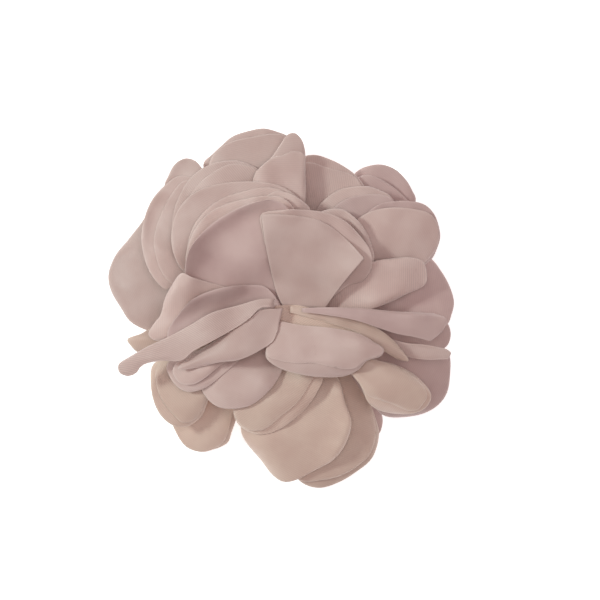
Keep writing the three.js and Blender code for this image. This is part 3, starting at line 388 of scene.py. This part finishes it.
def cubic_weights(count, at):
    """Weights that read a row of count even values at the shares in at, smoothly."""
    weights = np.zeros((len(at), count))
    for row, share in enumerate(at):
        x = share * (count - 1)
        i = min(int(x), count - 2)
        t = x - i
        four = (
            (-t + 2 * t**2 - t**3) / 2,
            (2 - 5 * t**2 + 3 * t**3) / 2,
            (t + 4 * t**2 - 3 * t**3) / 2,
            (-(t**2) + t**3) / 2,
        )
        for k, w in zip(range(i - 1, i + 3), four):
            if k < 0:  # the row goes on straight past its ends
                weights[row, 0] += 2 * w
                weights[row, 1] -= w
            elif k >= count:
                weights[row, -1] += 2 * w
                weights[row, -2] -= w
            else:
                weights[row, k] += w
    return weights


def cad_heights(name, points):
    """Top of a petal's CAD solid over each of the points, which are corners of its facets."""
    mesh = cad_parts[name].data
    co = np.zeros(len(mesh.vertices) * 3)
    mesh.vertices.foreach_get("co", co)
    co = co.reshape(-1, 3) / MM
    flat = points.reshape(-1, 2)
    apart = np.linalg.norm(co[None, :, :2] - flat[:, None], axis=2)
    near = apart < apart.min(axis=1, keepdims=True) + 0.02
    top = np.where(near, co[None, :, 2], -1).max(axis=1)
    return top.reshape(points.shape[:2])


# ---- height map of what has been laid so far ----
STEP = 0.3
HALF = 60
COUNT = int(2 * HALF / STEP) + 1
reach = np.zeros((COUNT, COUNT))
owner = np.full((COUNT, COUNT), -1)  # the number of the petal on top, or -1 for the hardware


def record_top(points, who):
    """Adds these points, closer together than STEP, to the height map."""
    col = np.clip(np.rint((points[:, 0] + HALF) / STEP).astype(int), 1, COUNT - 2)
    row = np.clip(np.rint((points[:, 1] + HALF) / STEP).astype(int), 1, COUNT - 2)
    fresh = np.zeros((COUNT, COUNT))
    np.maximum.at(fresh, (row, col), points[:, 2])
    owner[fresh > reach] = who
    wide = fresh.copy()
    for dy in (-1, 0, 1):
        for dx in (-1, 0, 1):
            wide = np.maximum(wide, np.roll(fresh, (dy, dx), (0, 1)))
    np.maximum(reach, wide, out=reach)


def reach_at(xy):
    """The height map over each of the points, taken from the highest of its four cells."""
    col = (xy[..., 0] + HALF) / STEP
    row = (xy[..., 1] + HALF) / STEP
    c0 = np.clip(np.floor(col).astype(int), 0, COUNT - 2)
    r0 = np.clip(np.floor(row).astype(int), 0, COUNT - 2)
    return np.maximum.reduce([reach[r0 + i, c0 + j] for i in (0, 1) for j in (0, 1)])


def record_node(name, who):
    """Adds a CAD node's faces to the height map."""
    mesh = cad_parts[name].data
    mesh.calc_loop_triangles()
    points = []
    for triangle in mesh.loop_triangles:
        a, b, c = (np.array(mesh.vertices[i].co) / MM for i in triangle.vertices)
        longest = max(np.linalg.norm(b - a), np.linalg.norm(c - b), np.linalg.norm(a - c))
        n = int(longest / (STEP * 0.8)) + 1
        i, j = np.meshgrid(np.arange(n + 1), np.arange(n + 1))
        keep = i + j <= n
        wb, wc = i[keep][:, None] / n, j[keep][:, None] / n
        points.append(a + (b - a) * wb + (c - a) * wc)
    record_top(np.vstack(points), who)


def record_grid(grid, who):
    """Adds a petal's grid of points to the height map, filled in between them."""
    fine = []
    for count in grid.shape[:2]:
        at = np.linspace(0, count - 1, (count - 1) * 6 + 1)
        low = np.minimum(at.astype(int), count - 2)
        weights = np.zeros((len(at), count))
        weights[np.arange(len(at)), low] = 1 - (at - low)
        weights[np.arange(len(at)), low + 1] += at - low
        fine.append(weights)
    dense = np.einsum("ai,ijk,bj->abk", fine[0], grid, fine[1])
    record_top(dense.reshape(-1, 3), who)


# ---- laying a petal ----
LIFT_PASSES = 120
LIFT_KEPT = 0.995  # of a lift, from one point of the sheet to the next


def blurred(z):
    """Each height as the mean of its four neighbours."""
    wide = np.pad(z, 1, mode="edge")
    return (wide[:-2, 1:-1] + wide[2:, 1:-1] + wide[1:-1, :-2] + wide[1:-1, 2:]) / 4


def settled(z, floor):
    """Lifts the sheet z clear of floor, and spreads each lift smoothly over the sheet."""
    short = np.maximum(floor - z, 0)
    lift = short
    for _ in range(LIFT_PASSES):
        lift = np.maximum(short, blurred(lift) * LIFT_KEPT)
    for _ in range(3):
        soft = lift
        for _ in range(4):
            soft = blurred(soft)
        lift = np.maximum(soft, short)
    return z + lift


def edge_distance(points, line, share):
    """Distance of each point from the edge line, and the share of its length that is nearest."""
    a, along = line[:-1], np.diff(line, axis=0)
    flat = points.reshape(-1, 1, 2)
    t = np.clip(((flat - a) * along).sum(2) / (along**2).sum(1), 0, 1)
    apart = np.linalg.norm(flat - a - t[..., None] * along, axis=2)
    k = apart.argmin(axis=1)
    rows = np.arange(len(k))
    s = share[k] + t[rows, k] * (share[k + 1] - share[k])
    return apart[rows, k].reshape(points.shape[:2]), s.reshape(points.shape[:2])


def smooth(x):
    """0 up to x = 0, 1 from x = 1, and an S-curve between."""
    x = np.clip(x, 0, 1)
    return x * x * (3 - 2 * x)


def curl_heights(curls, xy, line, share):
    """How far the curls lift each point, and how far each point is from the edge."""
    apart, s = edge_distance(xy, line, share)
    height = np.zeros(xy.shape[:2])
    for rise, width, start, end in curls:
        _, (ends,) = edge_distance(np.array([[start, end]], float), line, share)
        first, last = sorted(ends)
        fade = (last - first) * 0.25
        window = smooth((s - first) / fade) * smooth((last - s) / fade)
        slope = np.clip(1 - apart / width, 0, 1) ** 2
        if rise > 0:  # a rim that stands up rolls over at its very edge
            slope -= 0.35 * np.clip(1 - apart / ROLL, 0, 1) ** 2
        height += rise * window * slope
    return height, apart


RIM = np.array([0.012, 0.035])  # two rows of faces follow the edge
ROLL = 1.2
SOFTENING = 8  # passes that take the CAD facets out of a sheet
FULLNESS = 1.1  # the most that a petal's lower ply hangs away from the upper one
RIM_UNEVENNESS = 0.9  # how much larger the waves are at the edge than in the middle
US = np.concatenate([np.linspace(0, 1 - RIM[1], 32), 1 - RIM[:1], [1]])
VS = np.concatenate([[0], RIM[:1], np.linspace(RIM[1], 1 - RIM[1], 26), 1 - RIM[:1], [1]])
CAD_US = np.linspace(0, 1, CAD_ALONG + 1)
CAD_VS = np.linspace(0, 1, CAD_ACROSS + 1)
READ_ALONG = cubic_weights(CAD_ALONG + 1, US)
READ_ACROSS = cubic_weights(CAD_ACROSS + 1, VS)


def unevenness(xy, apart, seed):
    """Soft waves of the cloth, different on each petal and larger toward its edge."""
    random = np.random.default_rng(seed)
    height = np.zeros(xy.shape[:2])
    for wave, amount in ((9, 0.10), (14, 0.2), (22, 0.3)):
        turn, phase = random.uniform(0, 2 * math.pi, 2)
        across = xy[..., 0] * math.cos(turn) + xy[..., 1] * math.sin(turn)
        height += amount * np.sin(across * 2 * math.pi / wave + phase)
    return height * (1 + RIM_UNEVENNESS * smooth(1 - apart / 8))


def lay(p):
    """A petal as a grid of points, how far each is from the edge, and how far the lower ply hangs."""
    edge = fine_edge(p["edge"])
    xy = plan(edge, US, VS)
    parent = next(q for q in petals if q["name"] == (p["ply_of"] or p["name"]))
    corners = plan(fine_edge(parent["edge"]), CAD_US, CAD_VS)
    z = READ_ALONG @ cad_heights(parent["name"], corners) @ READ_ACROSS.T - CAD_CLOTH / 2
    for _ in range(SOFTENING):
        z = blurred(z)
    curled, apart = curl_heights(p["curls"], xy, *edge[:2])
    grow = smooth(US / 0.3)[:, None]
    z = z + curled + unevenness(xy, apart, petals.index(parent)) * grow
    floor = reach_at(xy) + AIR + PETAL_THICK / 2
    z = settled(z, floor)
    slack = np.minimum(z - floor, FULLNESS * smooth(apart / 7))
    for _ in range(6):
        slack = np.minimum(blurred(slack), z - floor)
    return np.dstack([xy, z]), apart, np.maximum(slack, 0)


CUT_SHARE = 0.7  # of its rectangle that a petal's cut fills
NARROWEST = 10.5  # least width given for a sheet; a narrower piece keeps its own area


def cell_area(grid):
    """The area of each cell of a grid of points."""
    a = grid[1:, 1:] - grid[:-1, :-1]
    b = grid[:-1, 1:] - grid[1:, :-1]
    return 0.5 * np.linalg.norm(np.cross(a, b), axis=2)


def flat_cut(grid):
    """The width and length of the petal-shaped piece of cloth that the grid was cut as, and its area."""
    length = np.linalg.norm(np.diff(grid, axis=0), axis=2).sum(axis=0).max()
    area = cell_area(grid).sum()
    return max(area / (CUT_SHARE * length), NARROWEST), length, area


# ---- meshes ----
def make_mesh(name, points, faces, material, uv=None, colour=None):
    """A Blender object from points in millimetres. uv and colour are per point."""
    mesh = bpy.data.meshes.new(name)
    mesh.from_pydata((np.asarray(points) * MM).tolist(), [], [list(f) for f in faces])
    mesh.validate()
    mesh.shade_smooth()
    loops = np.zeros(len(mesh.loops), int)
    mesh.loops.foreach_get("vertex_index", loops)
    if uv is not None:
        layer = mesh.uv_layers.new(name="weave")
        layer.data.foreach_set("uv", np.asarray(uv, np.float32)[loops].ravel())
    if colour is not None:
        layer = mesh.attributes.new("ribs_and_painted_light", "FLOAT_COLOR", "POINT")
        rgba = np.column_stack([colour, np.ones(len(colour))])
        layer.data.foreach_set("color", rgba.astype(np.float32).ravel())
    mesh.materials.append(material)
    obj = bpy.data.objects.new(name, mesh)
    bpy.context.scene.collection.objects.link(obj)
    return obj


def grid_faces(rows, cols, start=0, flip=False):
    """The four-sided faces between a grid's points, numbered from start."""
    index = start + np.arange(rows * cols).reshape(rows, cols)
    quads = np.stack([index[:-1, :-1], index[1:, :-1], index[1:, 1:], index[:-1, 1:]], axis=-1)
    quads = quads.reshape(-1, 4)
    return quads[:, ::-1] if flip else quads


def slab(grid, thick, slack=0.0):
    """Points and faces of a closed sheet about a grid: its thickness, and how far its back hangs."""
    rows, cols = grid.shape[:2]
    du = np.gradient(grid, axis=0)
    dv = np.gradient(grid, axis=1)
    normal = np.cross(du, dv)
    normal /= np.maximum(np.linalg.norm(normal, axis=2, keepdims=True), 1e-9)
    up = np.sign(normal[..., 2].mean())
    normal *= up
    half = np.broadcast_to(thick, (rows, cols))[..., None] / 2
    back = grid - normal * half
    back[..., 2] -= slack
    points = np.vstack([(grid + normal * half).reshape(-1, 3), back.reshape(-1, 3)])
    count = rows * cols
    flip = up < 0
    ring = [*range(0, cols - 1), *range(cols - 1, count - 1, cols)]
    ring += [*range(count - 1, count - cols, -1), *range(count - cols, 0, -cols)]
    faces = [grid_faces(rows, cols, 0, flip), grid_faces(rows, cols, count, not flip)]
    around = ring[1:] + ring[:1]
    wall = np.array([[a, b, b + count, a + count] for a, b in zip(ring, around)])
    faces.append(wall[:, ::-1] if flip else wall)
    return points, np.vstack(faces)


# ---- materials ----
class Finish:
    """A procedural material, built node by node."""

    def __init__(self, name, roughness, metallic=0.0, **sockets):
        self.material = bpy.data.materials.new(name)
        self.material.use_nodes = True
        self.tree = self.material.node_tree
        self.shader = self.tree.nodes["Principled BSDF"]
        self.shader.inputs["Roughness"].default_value = roughness
        self.shader.inputs["Metallic"].default_value = metallic
        for socket, value in sockets.items():
            self.shader.inputs[socket.replace("_", " ")].default_value = value

    def node(self, kind, inputs, output=0, **settings):
        node = self.tree.nodes.new("ShaderNode" + kind)
        for key, value in settings.items():
            setattr(node, key, value)
        for key, value in inputs.items():
            if isinstance(value, bpy.types.NodeSocket):
                self.tree.links.new(value, node.inputs[key])
            else:
                node.inputs[key].default_value = value
        return node.outputs[output]

    def math(self, operation, a, b=0.0):
        return self.node("Math", {0: a, 1: b}, operation=operation)

    def place(self):
        return self.node("TexCoord", {}, output=3)

    def noise(self, scale, detail=2.0, where=None, output=0):
        where = where or self.place()
        inputs = {"Vector": where, "Scale": scale, "Detail": detail}
        return self.node("TexNoise", inputs, output=output)

    def mix(self, share, a, b, blend="MIX"):
        inputs = {0: share, 6: a, 7: b}
        return self.node("Mix", inputs, output=2, data_type="RGBA", blend_type=blend)

    def spread(self, value, low, high, to_low=0.0, to_high=1.0):
        inputs = {0: value, 1: low, 2: high, 3: to_low, 4: to_high}
        return self.node("MapRange", inputs)

    def bump(self, height, distance, strength=1.0):
        inputs = {"Height": height, "Distance": distance, "Strength": strength}
        self.tree.links.new(self.node("Bump", inputs), self.shader.inputs["Normal"])

    def use(self, socket, value):
        self.tree.links.new(value, self.shader.inputs[socket])


def rgb(red, green, blue):
    """An sRGB colour from 0 to 255 as linear RGBA."""
    linear = [((c / 255 + 0.055) / 1.055) ** 2.4 for c in (red, green, blue)]
    return (*linear, 1.0)


def satin(name, light, dark, highlight_colour):
    """Ribbed satin. Each petal's attribute says how deep its ribs are, how far a painted highlight
    reaches in from its edge, and how light its colour is painted (partly the cloth's own colour, partly
    painted light and shade).
    """
    f = Finish(name, 0.5, Sheen_Weight=0.25, Sheen_Roughness=0.4, Specular_IOR_Level=0.4)
    ribs_and_painted_light = f.node("Attribute", {}, attribute_name="ribs_and_painted_light")
    parts = f.tree.nodes.new("ShaderNodeSeparateColor")
    f.tree.links.new(ribs_and_painted_light, parts.inputs[0])
    depth, painted_highlight, painted_light_tone = parts.outputs
    weave = f.node("UVMap", {}, uv_map="weave")
    axes = f.tree.nodes.new("ShaderNodeSeparateXYZ")
    f.tree.links.new(weave, axes.inputs[0])
    rib = f.math("SINE", f.math("MULTIPLY", axes.outputs[0], 2 * math.pi))
    drift = f.noise(45.0, 3.0)
    rib = f.math("MULTIPLY", rib, f.math("MULTIPLY", depth, f.spread(drift, 0.35, 0.6, 0.4, 1.0)))
    mottled = f.mix(f.spread(f.noise(110.0, 3.0), 0.35, 0.65), light, dark)
    # painted light and shade: each petal's tint scales its colour, partly the cloth's own colour and
    # partly light and shade painted in to even out its brightness
    shade = f.math("ADD", painted_light_tone, 0.5)
    painted_light_toned = f.mix(1.0, mottled, f.node("CombineColor", {k: shade for k in range(3)}), "MULTIPLY")
    ribbed = f.mix(1.0, painted_light_toned, f.node("CombineColor", {
        k: f.spread(rib, -1.0, 1.0, 0.91, 1.09) for k in range(3)
    }), "MULTIPLY")
    # painted highlight: the lighter third colour is mixed in along each petal's edge, where the edge
    # catches light
    f.use("Base Color", f.mix(f.math("MULTIPLY", painted_highlight, 0.55), ribbed, highlight_colour))
    grain = f.noise(2600.0, 2.0)
    f.use("Roughness", f.spread(f.noise(260.0, 4.0), 0.3, 0.7, 0.42, 0.6))
    f.bump(f.math("ADD", rib, f.math("MULTIPLY", grain, 0.5)), 0.00003, 0.8)
    return f.material


# The mauve satin is a darker copy of the pink, given to the petals that lie in shade, and the beige a
# lighter, warmer copy given to lit petals: partly the cloth's own colours, partly painted shade and
# painted light. The third colour of each is the painted edge highlight.
satins = {
    PINK: satin("satin_pink", rgb(205, 182, 174), rgb(198, 172, 164), rgb(222, 203, 194)),
    BEIGE_LIT: satin("satin_beige", rgb(208, 185, 170), rgb(201, 175, 161), rgb(224, 205, 190)),
    MAUVE_SHADED: satin("satin_mauve", rgb(198, 173, 167), rgb(190, 163, 158), rgb(216, 195, 188)),
}


# ---- the satin sheets of the petals ----
THIN_RIM = 0.5  # how far in from its edge a petal gets thinner
PAINTED_HIGHLIGHT_WIDTH = 0.45  # how far in from its edge a lighter band is painted: a painted highlight where the edge catches light
PAINTED_HIGHLIGHT_START = 0.15  # share of the length from the root over which the painted edge highlight comes in

for node in ("clip_upper_arm", "felt_backing", "base_disc", "stitched_core"):
    record_node(node, -1)

for number, p in enumerate(petals):
    grid, apart, slack = lay(p)
    thick = PETAL_THICK * (0.35 + 0.65 * np.clip(apart / THIN_RIM, 0, 1))
    points, faces = slab(grid, thick, slack)
    middle = np.mean(p["edge"], axis=0)
    turn = np.radians(p["ribs"] + p["rib_turn"] * US[:, None] * np.ones_like(VS))
    dx, dy = grid[..., 0] - middle[0], grid[..., 1] - middle[1]
    across = (dx * -np.sin(turn) + dy * np.cos(turn)) / RIB_PITCH
    along = (dx * np.cos(turn) + dy * np.sin(turn)) / RIB_PITCH
    uv = np.tile(np.column_stack([across.ravel(), along.ravel()]), (2, 1))
    # painted highlight along the edge, fading in from the root
    painted_highlight = (np.clip(1 - apart / PAINTED_HIGHLIGHT_WIDTH, 0, 1) * smooth(US / PAINTED_HIGHLIGHT_START)[:, None]).ravel()
    depth = np.full(painted_highlight.size, p["rib_depth"])
    # painted light and shade: the petal's tint, carried to the satin's colour
    painted_light_tone = np.full(painted_highlight.size, p["painted_light_tint"] - 0.5)
    colour = np.column_stack([depth, painted_highlight, painted_light_tone])
    name = p["name"].replace("petal_", "satin_")
    obj = make_mesh(name, points, faces, satins[p["slot"]], uv, np.tile(colour, (2, 1)))
    record_grid(grid + [0, 0, PETAL_THICK / 2], number)
    width, length, area = flat_cut(grid)
    area *= MM * MM
    if not p["ply_of"]:
        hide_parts(p["name"])
    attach(obj, FLOWER)


# ---- turned and drawn shapes for the hardware ----
def turned(profile, radii, centre, sides, wobble=lambda angle: 1.0):
    """A closed turned shape. profile holds (share of the radii, height) from the axis at the
    bottom to the axis at the top, and wobble scales the radii at each angle."""
    angle = np.arange(sides) * 2 * math.pi / sides
    scale = wobble(angle)
    points = [(centre[0], centre[1], profile[0][1])]
    for share, z in profile[1:-1]:
        x = centre[0] + radii[0] * share * scale * np.cos(angle)
        y = centre[1] + radii[1] * share * scale * np.sin(angle)
        points += list(zip(x, y, np.full(sides, z)))
    points.append((centre[0], centre[1], profile[-1][1]))
    last = len(points) - 1
    faces = []
    for k in range(sides):
        n = (k + 1) % sides
        faces.append((0, 1 + n, 1 + k))
        for ring in range(len(profile) - 3):
            a = 1 + ring * sides
            faces.append((a + k, a + n, a + sides + n, a + sides + k))
        a = last - sides
        faces.append((a + k, a + n, last))
    return points, faces


def rounded_profile(low, high, radius, rounding, rings=5):
    """The profile of a disc with soft edges, as turned() takes it, with flat rings inside."""
    inner = [share * (1 - rounding / radius) for share in (0.25, 0.5, 0.75, 1.0)]
    half = (high - low) / 2
    arc = []
    for k in range(1, rings):
        a = -math.pi / 2 + math.pi * k / rings
        share = 1 - rounding * (1 - math.cos(a)) / radius
        arc.append((share, low + half + half * math.sin(a)))
    bottom = [(share, low) for share in inner]
    top = [(share, high) for share in reversed(inner)]
    return [(0, low), *bottom, *arc, *top, (0, high)]


def tube(path, radius, sides=10):
    """A closed round wire along a path of points."""
    path = np.asarray(path, float)
    along = np.gradient(path, axis=0)
    along /= np.linalg.norm(along, axis=1, keepdims=True)
    side = np.cross(along[0], [0, 1, 0.1])
    points = [tuple(path[0])]
    angle = np.arange(sides) * 2 * math.pi / sides
    for centre, t in zip(path, along):
        side = side - t * (side @ t)
        side /= np.linalg.norm(side)
        other = np.cross(t, side)
        ring = centre + radius * (np.outer(np.cos(angle), side) + np.outer(np.sin(angle), other))
        points += [tuple(point) for point in ring]
    points.append(tuple(path[-1]))
    last = len(points) - 1
    faces = []
    for k in range(sides):
        n = (k + 1) % sides
        faces.append((0, 1 + n, 1 + k))
        for ring in range(len(path) - 1):
            a = 1 + ring * sides
            faces.append((a + k, a + n, a + sides + n, a + sides + k))
        faces.append((last - sides + k, last - sides + n, last))
    return points, faces


def box_mm(node):
    """The low and high corners of a CAD node's box, in millimetres."""
    low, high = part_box(node)
    return np.array(low) / MM, np.array(high) / MM


# ---- finishes of the hardware ----
def metal(name, light, dark, rough):
    """Plated metal with a faint brushing along X."""
    f = Finish(name, rough, 1.0)
    where = f.node("Mapping", {"Vector": f.place(), "Scale": (60.0, 1400.0, 1400.0)})
    brushed = f.noise(1.0, 3.0, where)
    f.use("Base Color", f.mix(f.spread(f.noise(220.0), 0.3, 0.7), light, dark))
    f.use("Roughness", f.spread(brushed, 0.3, 0.7, rough - 0.03, rough + 0.05))
    f.bump(brushed, 0.000003, 0.15)
    return f.material


def felted(name, light, dark):
    """Felt, with fine fibres in larger clumps."""
    f = Finish(name, 0.95, Sheen_Weight=0.4, Sheen_Roughness=0.6, Specular_IOR_Level=0.2)
    fibres = f.noise(1500.0, 6.0)
    clumps = f.noise(350.0, 4.0)
    share = f.math("ADD", f.math("MULTIPLY", fibres, 0.6), f.math("MULTIPLY", clumps, 0.4))
    f.use("Base Color", f.mix(f.spread(share, 0.35, 0.65), dark, light))
    f.use("Roughness", f.spread(clumps, 0.3, 0.7, 0.85, 1.0))
    f.bump(share, 0.0003, 0.8)
    return f.material


def woven(name, light, dark, pitch, along_only=False):
    """Yarns that cross at right angles, or ribs that run across X alone."""
    f = Finish(name, 0.8, Sheen_Weight=0.2, Specular_IOR_Level=0.3)
    axes = f.tree.nodes.new("ShaderNodeSeparateXYZ")
    f.tree.links.new(f.place(), axes.inputs[0])
    turns = 2 * math.pi / (pitch * MM)
    warp = f.math("SINE", f.math("MULTIPLY", axes.outputs[0], turns))
    weft = f.math("SINE", f.math("MULTIPLY", axes.outputs[1], turns))
    weave = warp if along_only else f.math("MULTIPLY", warp, weft)
    cloudy = f.math("ADD", weave, f.spread(f.noise(500.0, 3.0), 0.3, 0.7, -0.6, 0.6))
    f.use("Base Color", f.mix(f.spread(cloudy, -1.2, 1.2), dark, light))
    f.use("Roughness", f.spread(cloudy, -1.2, 1.2, 0.85, 0.65))
    f.bump(weave, 0.00012, 0.7)
    return f.material


def glued(name, light, dark):
    """Set hot glue, cloudy and half shiny."""
    f = Finish(name, 0.3, Coat_Weight=0.2, IOR=1.48)
    cloudy = f.noise(260.0, 3.0)
    f.use("Base Color", f.mix(f.spread(cloudy, 0.3, 0.7), light, dark))
    f.use("Roughness", f.spread(cloudy, 0.3, 0.7, 0.22, 0.42))
    f.bump(f.noise(420.0, 2.0), 0.0002, 0.5)
    return f.material


nickel = metal("nickel_plate", rgb(206, 206, 208), rgb(188, 188, 192), 0.28)
spring_steel = metal("spring_steel", rgb(172, 175, 180), rgb(150, 153, 158), 0.34)
felt = felted("felt", rgb(214, 200, 193), rgb(192, 176, 169))
buckram = woven("buckram", rgb(222, 210, 201), rgb(190, 174, 164), 1.1)
thread = woven("thread", rgb(202, 176, 167), rgb(168, 142, 134), 0.5)
ribbon = woven("ribbon", rgb(196, 170, 162), rgb(170, 143, 136), 0.9, along_only=True)
glue = glued("glue", rgb(232, 226, 212), rgb(218, 208, 190))

for name in ("clip_upper_arm", "clip_lower_arm", "hinge_pin"):
    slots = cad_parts[name].data.materials
    slots.clear()
    slots.append(nickel)


# ---- backing discs, strap, glue and lining ----
def disc_piece(name, node, material, rounding, wobble):
    """A cut disc with soft edges in place of a CAD disc."""
    low, high = box_mm(node)
    radius = (high[0] - low[0]) / 2
    profile = rounded_profile(low[2], high[2], radius, rounding)
    points, faces = turned(profile, (radius, radius), (0, 0), 120, wobble)
    obj = make_mesh(name, points, faces, material)
    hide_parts(node)
    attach(obj, FLOWER)


disc_piece("felt_disc", "felt_backing", felt, 0.5,
           lambda a: 1 + 0.004 * np.sin(5 * a) + 0.003 * np.sin(9 * a + 1))
disc_piece("buckram_disc", "base_disc", buckram, 0.25,
           lambda a: 1 + 0.003 * np.sin(7 * a + 2))

low, high = box_mm("glue_pad")
centre, half = (low + high) / 2, (high - low) / 2
glue_profile = rounded_profile(low[2], high[2], half[1], 0.4)
points, faces = turned(glue_profile, (half[0], half[1]), centre[:2], 96,
                       lambda a: 0.95 + 0.03 * np.sin(6 * a) + 0.02 * np.sin(11 * a + 2))
bead = make_mesh("glue_bead", points, faces, glue)
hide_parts("glue_pad")
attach(bead, FLOWER)

low, high = box_mm("felt_keeper")
STRAP_THICK = 0.8
bends = np.array([(-1, 1), (-0.63, 1), (-0.47, 0), (0.47, 0), (0.63, 1), (1, 1)], float)
at = np.linspace(0, len(bends) - 1, 61)
line = np.stack([np.interp(at, np.arange(len(bends)), bends[:, k]) for k in (0, 1)], axis=1)
for _ in range(2):
    line[1:-1] = (line[:-2] + 2 * line[1:-1] + line[2:]) / 4
strap_x = np.linspace(low[0], high[0], 25)
strap = np.zeros((len(line), len(strap_x), 3))
strap[..., 0] = strap_x
strap[..., 1] = line[:, :1] * high[1]
strap[..., 2] = low[2] + STRAP_THICK / 2 + line[:, 1:] * (high[2] - low[2] - STRAP_THICK)
points, faces = slab(strap, STRAP_THICK * 0.94)
piece = make_mesh("felt_strap", points, faces, felt)
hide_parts("felt_keeper")
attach(piece, FLOWER)

low, high = box_mm("ribbon_lining")
LINING_THICK = 0.3
lining_x, lining_y = np.linspace(low[0], high[0], 150), np.linspace(low[1], high[1], 9)
lining = np.zeros((len(lining_x), len(lining_y), 3))
lining[..., 0] = lining_x[:, None]
lining[..., 1] = lining_y
lining[..., 2] = (low[2] + high[2]) / 2 + 0.05 * np.sin(lining_x * 2 * math.pi / 0.9)[:, None]
points, faces = slab(lining, LINING_THICK)
piece = make_mesh("ribbon_strip", points, faces, ribbon)
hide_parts("ribbon_lining")
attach(piece, LOWER_ARM)

# ---- the bound petal roots ----
low, high = box_mm("stitched_core")
core_radius = (high[0] - low[0]) / 2
core_height = high[2] - low[2]
core_line = [(0, 0), (0.5, 0), (0.94, 0.01), (1, 0.13), (0.97, 0.28), (0.88, 0.44), (0.77, 0.6),
             (0.66, 0.78), (0.54, 0.88), (0.42, 0.95), (0.2, 0.99), (0, 1)]
points, faces = turned([(r, low[2] + z * core_height) for r, z in core_line],
                       (core_radius, core_radius), (0, 0), 180,
                       lambda a: 0.97 + 0.022 * np.cos(30 * a) + 0.008 * np.cos(13 * a + 1))
plain = np.tile([0.0, 0.0, 0.5], (len(points), 1))
roots = make_mesh("gathered_roots", points, faces, satins[MAUVE_SHADED], np.zeros((len(points), 2)), plain)
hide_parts("stitched_core")
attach(roots, FLOWER)

TURNS = 9
turn = np.linspace(0, 1, TURNS * 40)
shares, heights = np.array(core_line)[3:8].T
winding_z = 0.16 + 0.5 * turn
winding_r = np.interp(winding_z, heights, shares) * core_radius * 0.99
winding = np.stack([
    winding_r * np.cos(turn * TURNS * 2 * math.pi),
    winding_r * np.sin(turn * TURNS * 2 * math.pi),
    low[2] + winding_z * core_height,
], axis=1)
points, faces = tube(winding, 0.2, 8)
piece = make_mesh("binding_thread", points, faces, thread)
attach(piece, FLOWER)

# ---- the spring ----
low, high = box_mm("hinge_pin")
pin_x, pin_z = (low[0] + high[0]) / 2, (low[2] + high[2]) / 2
COIL_RADIUS, WIRE = 1.25, 0.35
COIL_HALF, COIL_TURNS = 1.9, 3.5
LEG = 8


def coil_points(first, last, count):
    """Points on the coil between two angles, in turns from its top."""
    turn = np.linspace(first, last, count)
    angle = math.pi / 2 + turn * 2 * math.pi
    return np.stack([
        pin_x + COIL_RADIUS * np.cos(angle),
        -COIL_HALF + 2 * COIL_HALF * turn / COIL_TURNS,
        pin_z + COIL_RADIUS * np.sin(angle),
    ], axis=1)


upper_leg = [(pin_x + x, -COIL_HALF, pin_z + COIL_RADIUS) for x in np.linspace(LEG, 0.3, 12)]
points, faces = tube([*upper_leg, *coil_points(0, COIL_TURNS, 100)], WIRE, 12)
piece = make_mesh("spring_coil", points, faces, spring_steel)
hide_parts("torsion_spring")
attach(piece, FLOWER)
lower_leg = [(pin_x + x, COIL_HALF, pin_z - COIL_RADIUS) for x in np.linspace(0.3, LEG, 12)]
points, faces = tube([*coil_points(COIL_TURNS - 0.08, COIL_TURNS, 5), *lower_leg], WIRE * 0.95, 12)
piece = make_mesh("spring_leg", points, faces, spring_steel)
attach(piece, LOWER_ARM)

# ---- floor, light and camera ----
paper = Finish("paper", 0.9, Emission_Strength=0.6, Emission_Color=(1, 1, 1, 1))
paper.use("Base Color", paper.mix(paper.noise(20.0), rgb(250, 250, 250), rgb(246, 246, 246)))
FLOOR_HALF = 1500
FLOOR_Z = -0.3
corners = [(x * FLOOR_HALF, y * FLOOR_HALF, FLOOR_Z) for x, y in ((-1, -1), (1, -1), (1, 1), (-1, 1))]
floor = make_mesh("floor", corners, [(0, 1, 2, 3)], paper.material)

world = bpy.data.worlds.new("studio")
bpy.context.scene.world = world
world.use_nodes = True
world.node_tree.nodes["Background"].inputs["Color"].default_value = (1.0, 0.88, 0.885, 1)
world.node_tree.nodes["Background"].inputs["Strength"].default_value = 0.37


def area_light(name, place, target, size, watts, colour):
    """A square lamp at place that faces target."""
    light = bpy.data.lights.new(name, "AREA")
    light.size = size
    light.energy = watts
    light.color = colour
    obj = bpy.data.objects.new(name, light)
    obj.location = place
    obj.rotation_euler = (Vector(target) - Vector(place)).to_track_quat("-Z", "Y").to_euler()
    bpy.context.scene.collection.objects.link(obj)


area_light("key_light", (-0.95, 0.3, 0.95), (0, 0, 0.02), 0.22, 7.9, (0.86, 1.0, 0.97))
area_light("fill_light", (0.1, 0.05, 1.3), (0, 0, 0.02), 0.7, 4.9, (1.0, 0.9, 0.905))

CAMERA_HEIGHT = 1.12  # straight above the flower

camera = bpy.data.cameras.new("camera")
camera.lens = 220
camera.sensor_width = 36
camera.clip_start = 0.05
camera.clip_end = 20
camera_object = bpy.data.objects.new("camera", camera)
camera_object.location = (0.006, 0.0027, CAMERA_HEIGHT)
bpy.context.scene.collection.objects.link(camera_object)
bpy.context.scene.camera = camera_object
bpy.context.scene.view_settings.view_transform = "Standard"
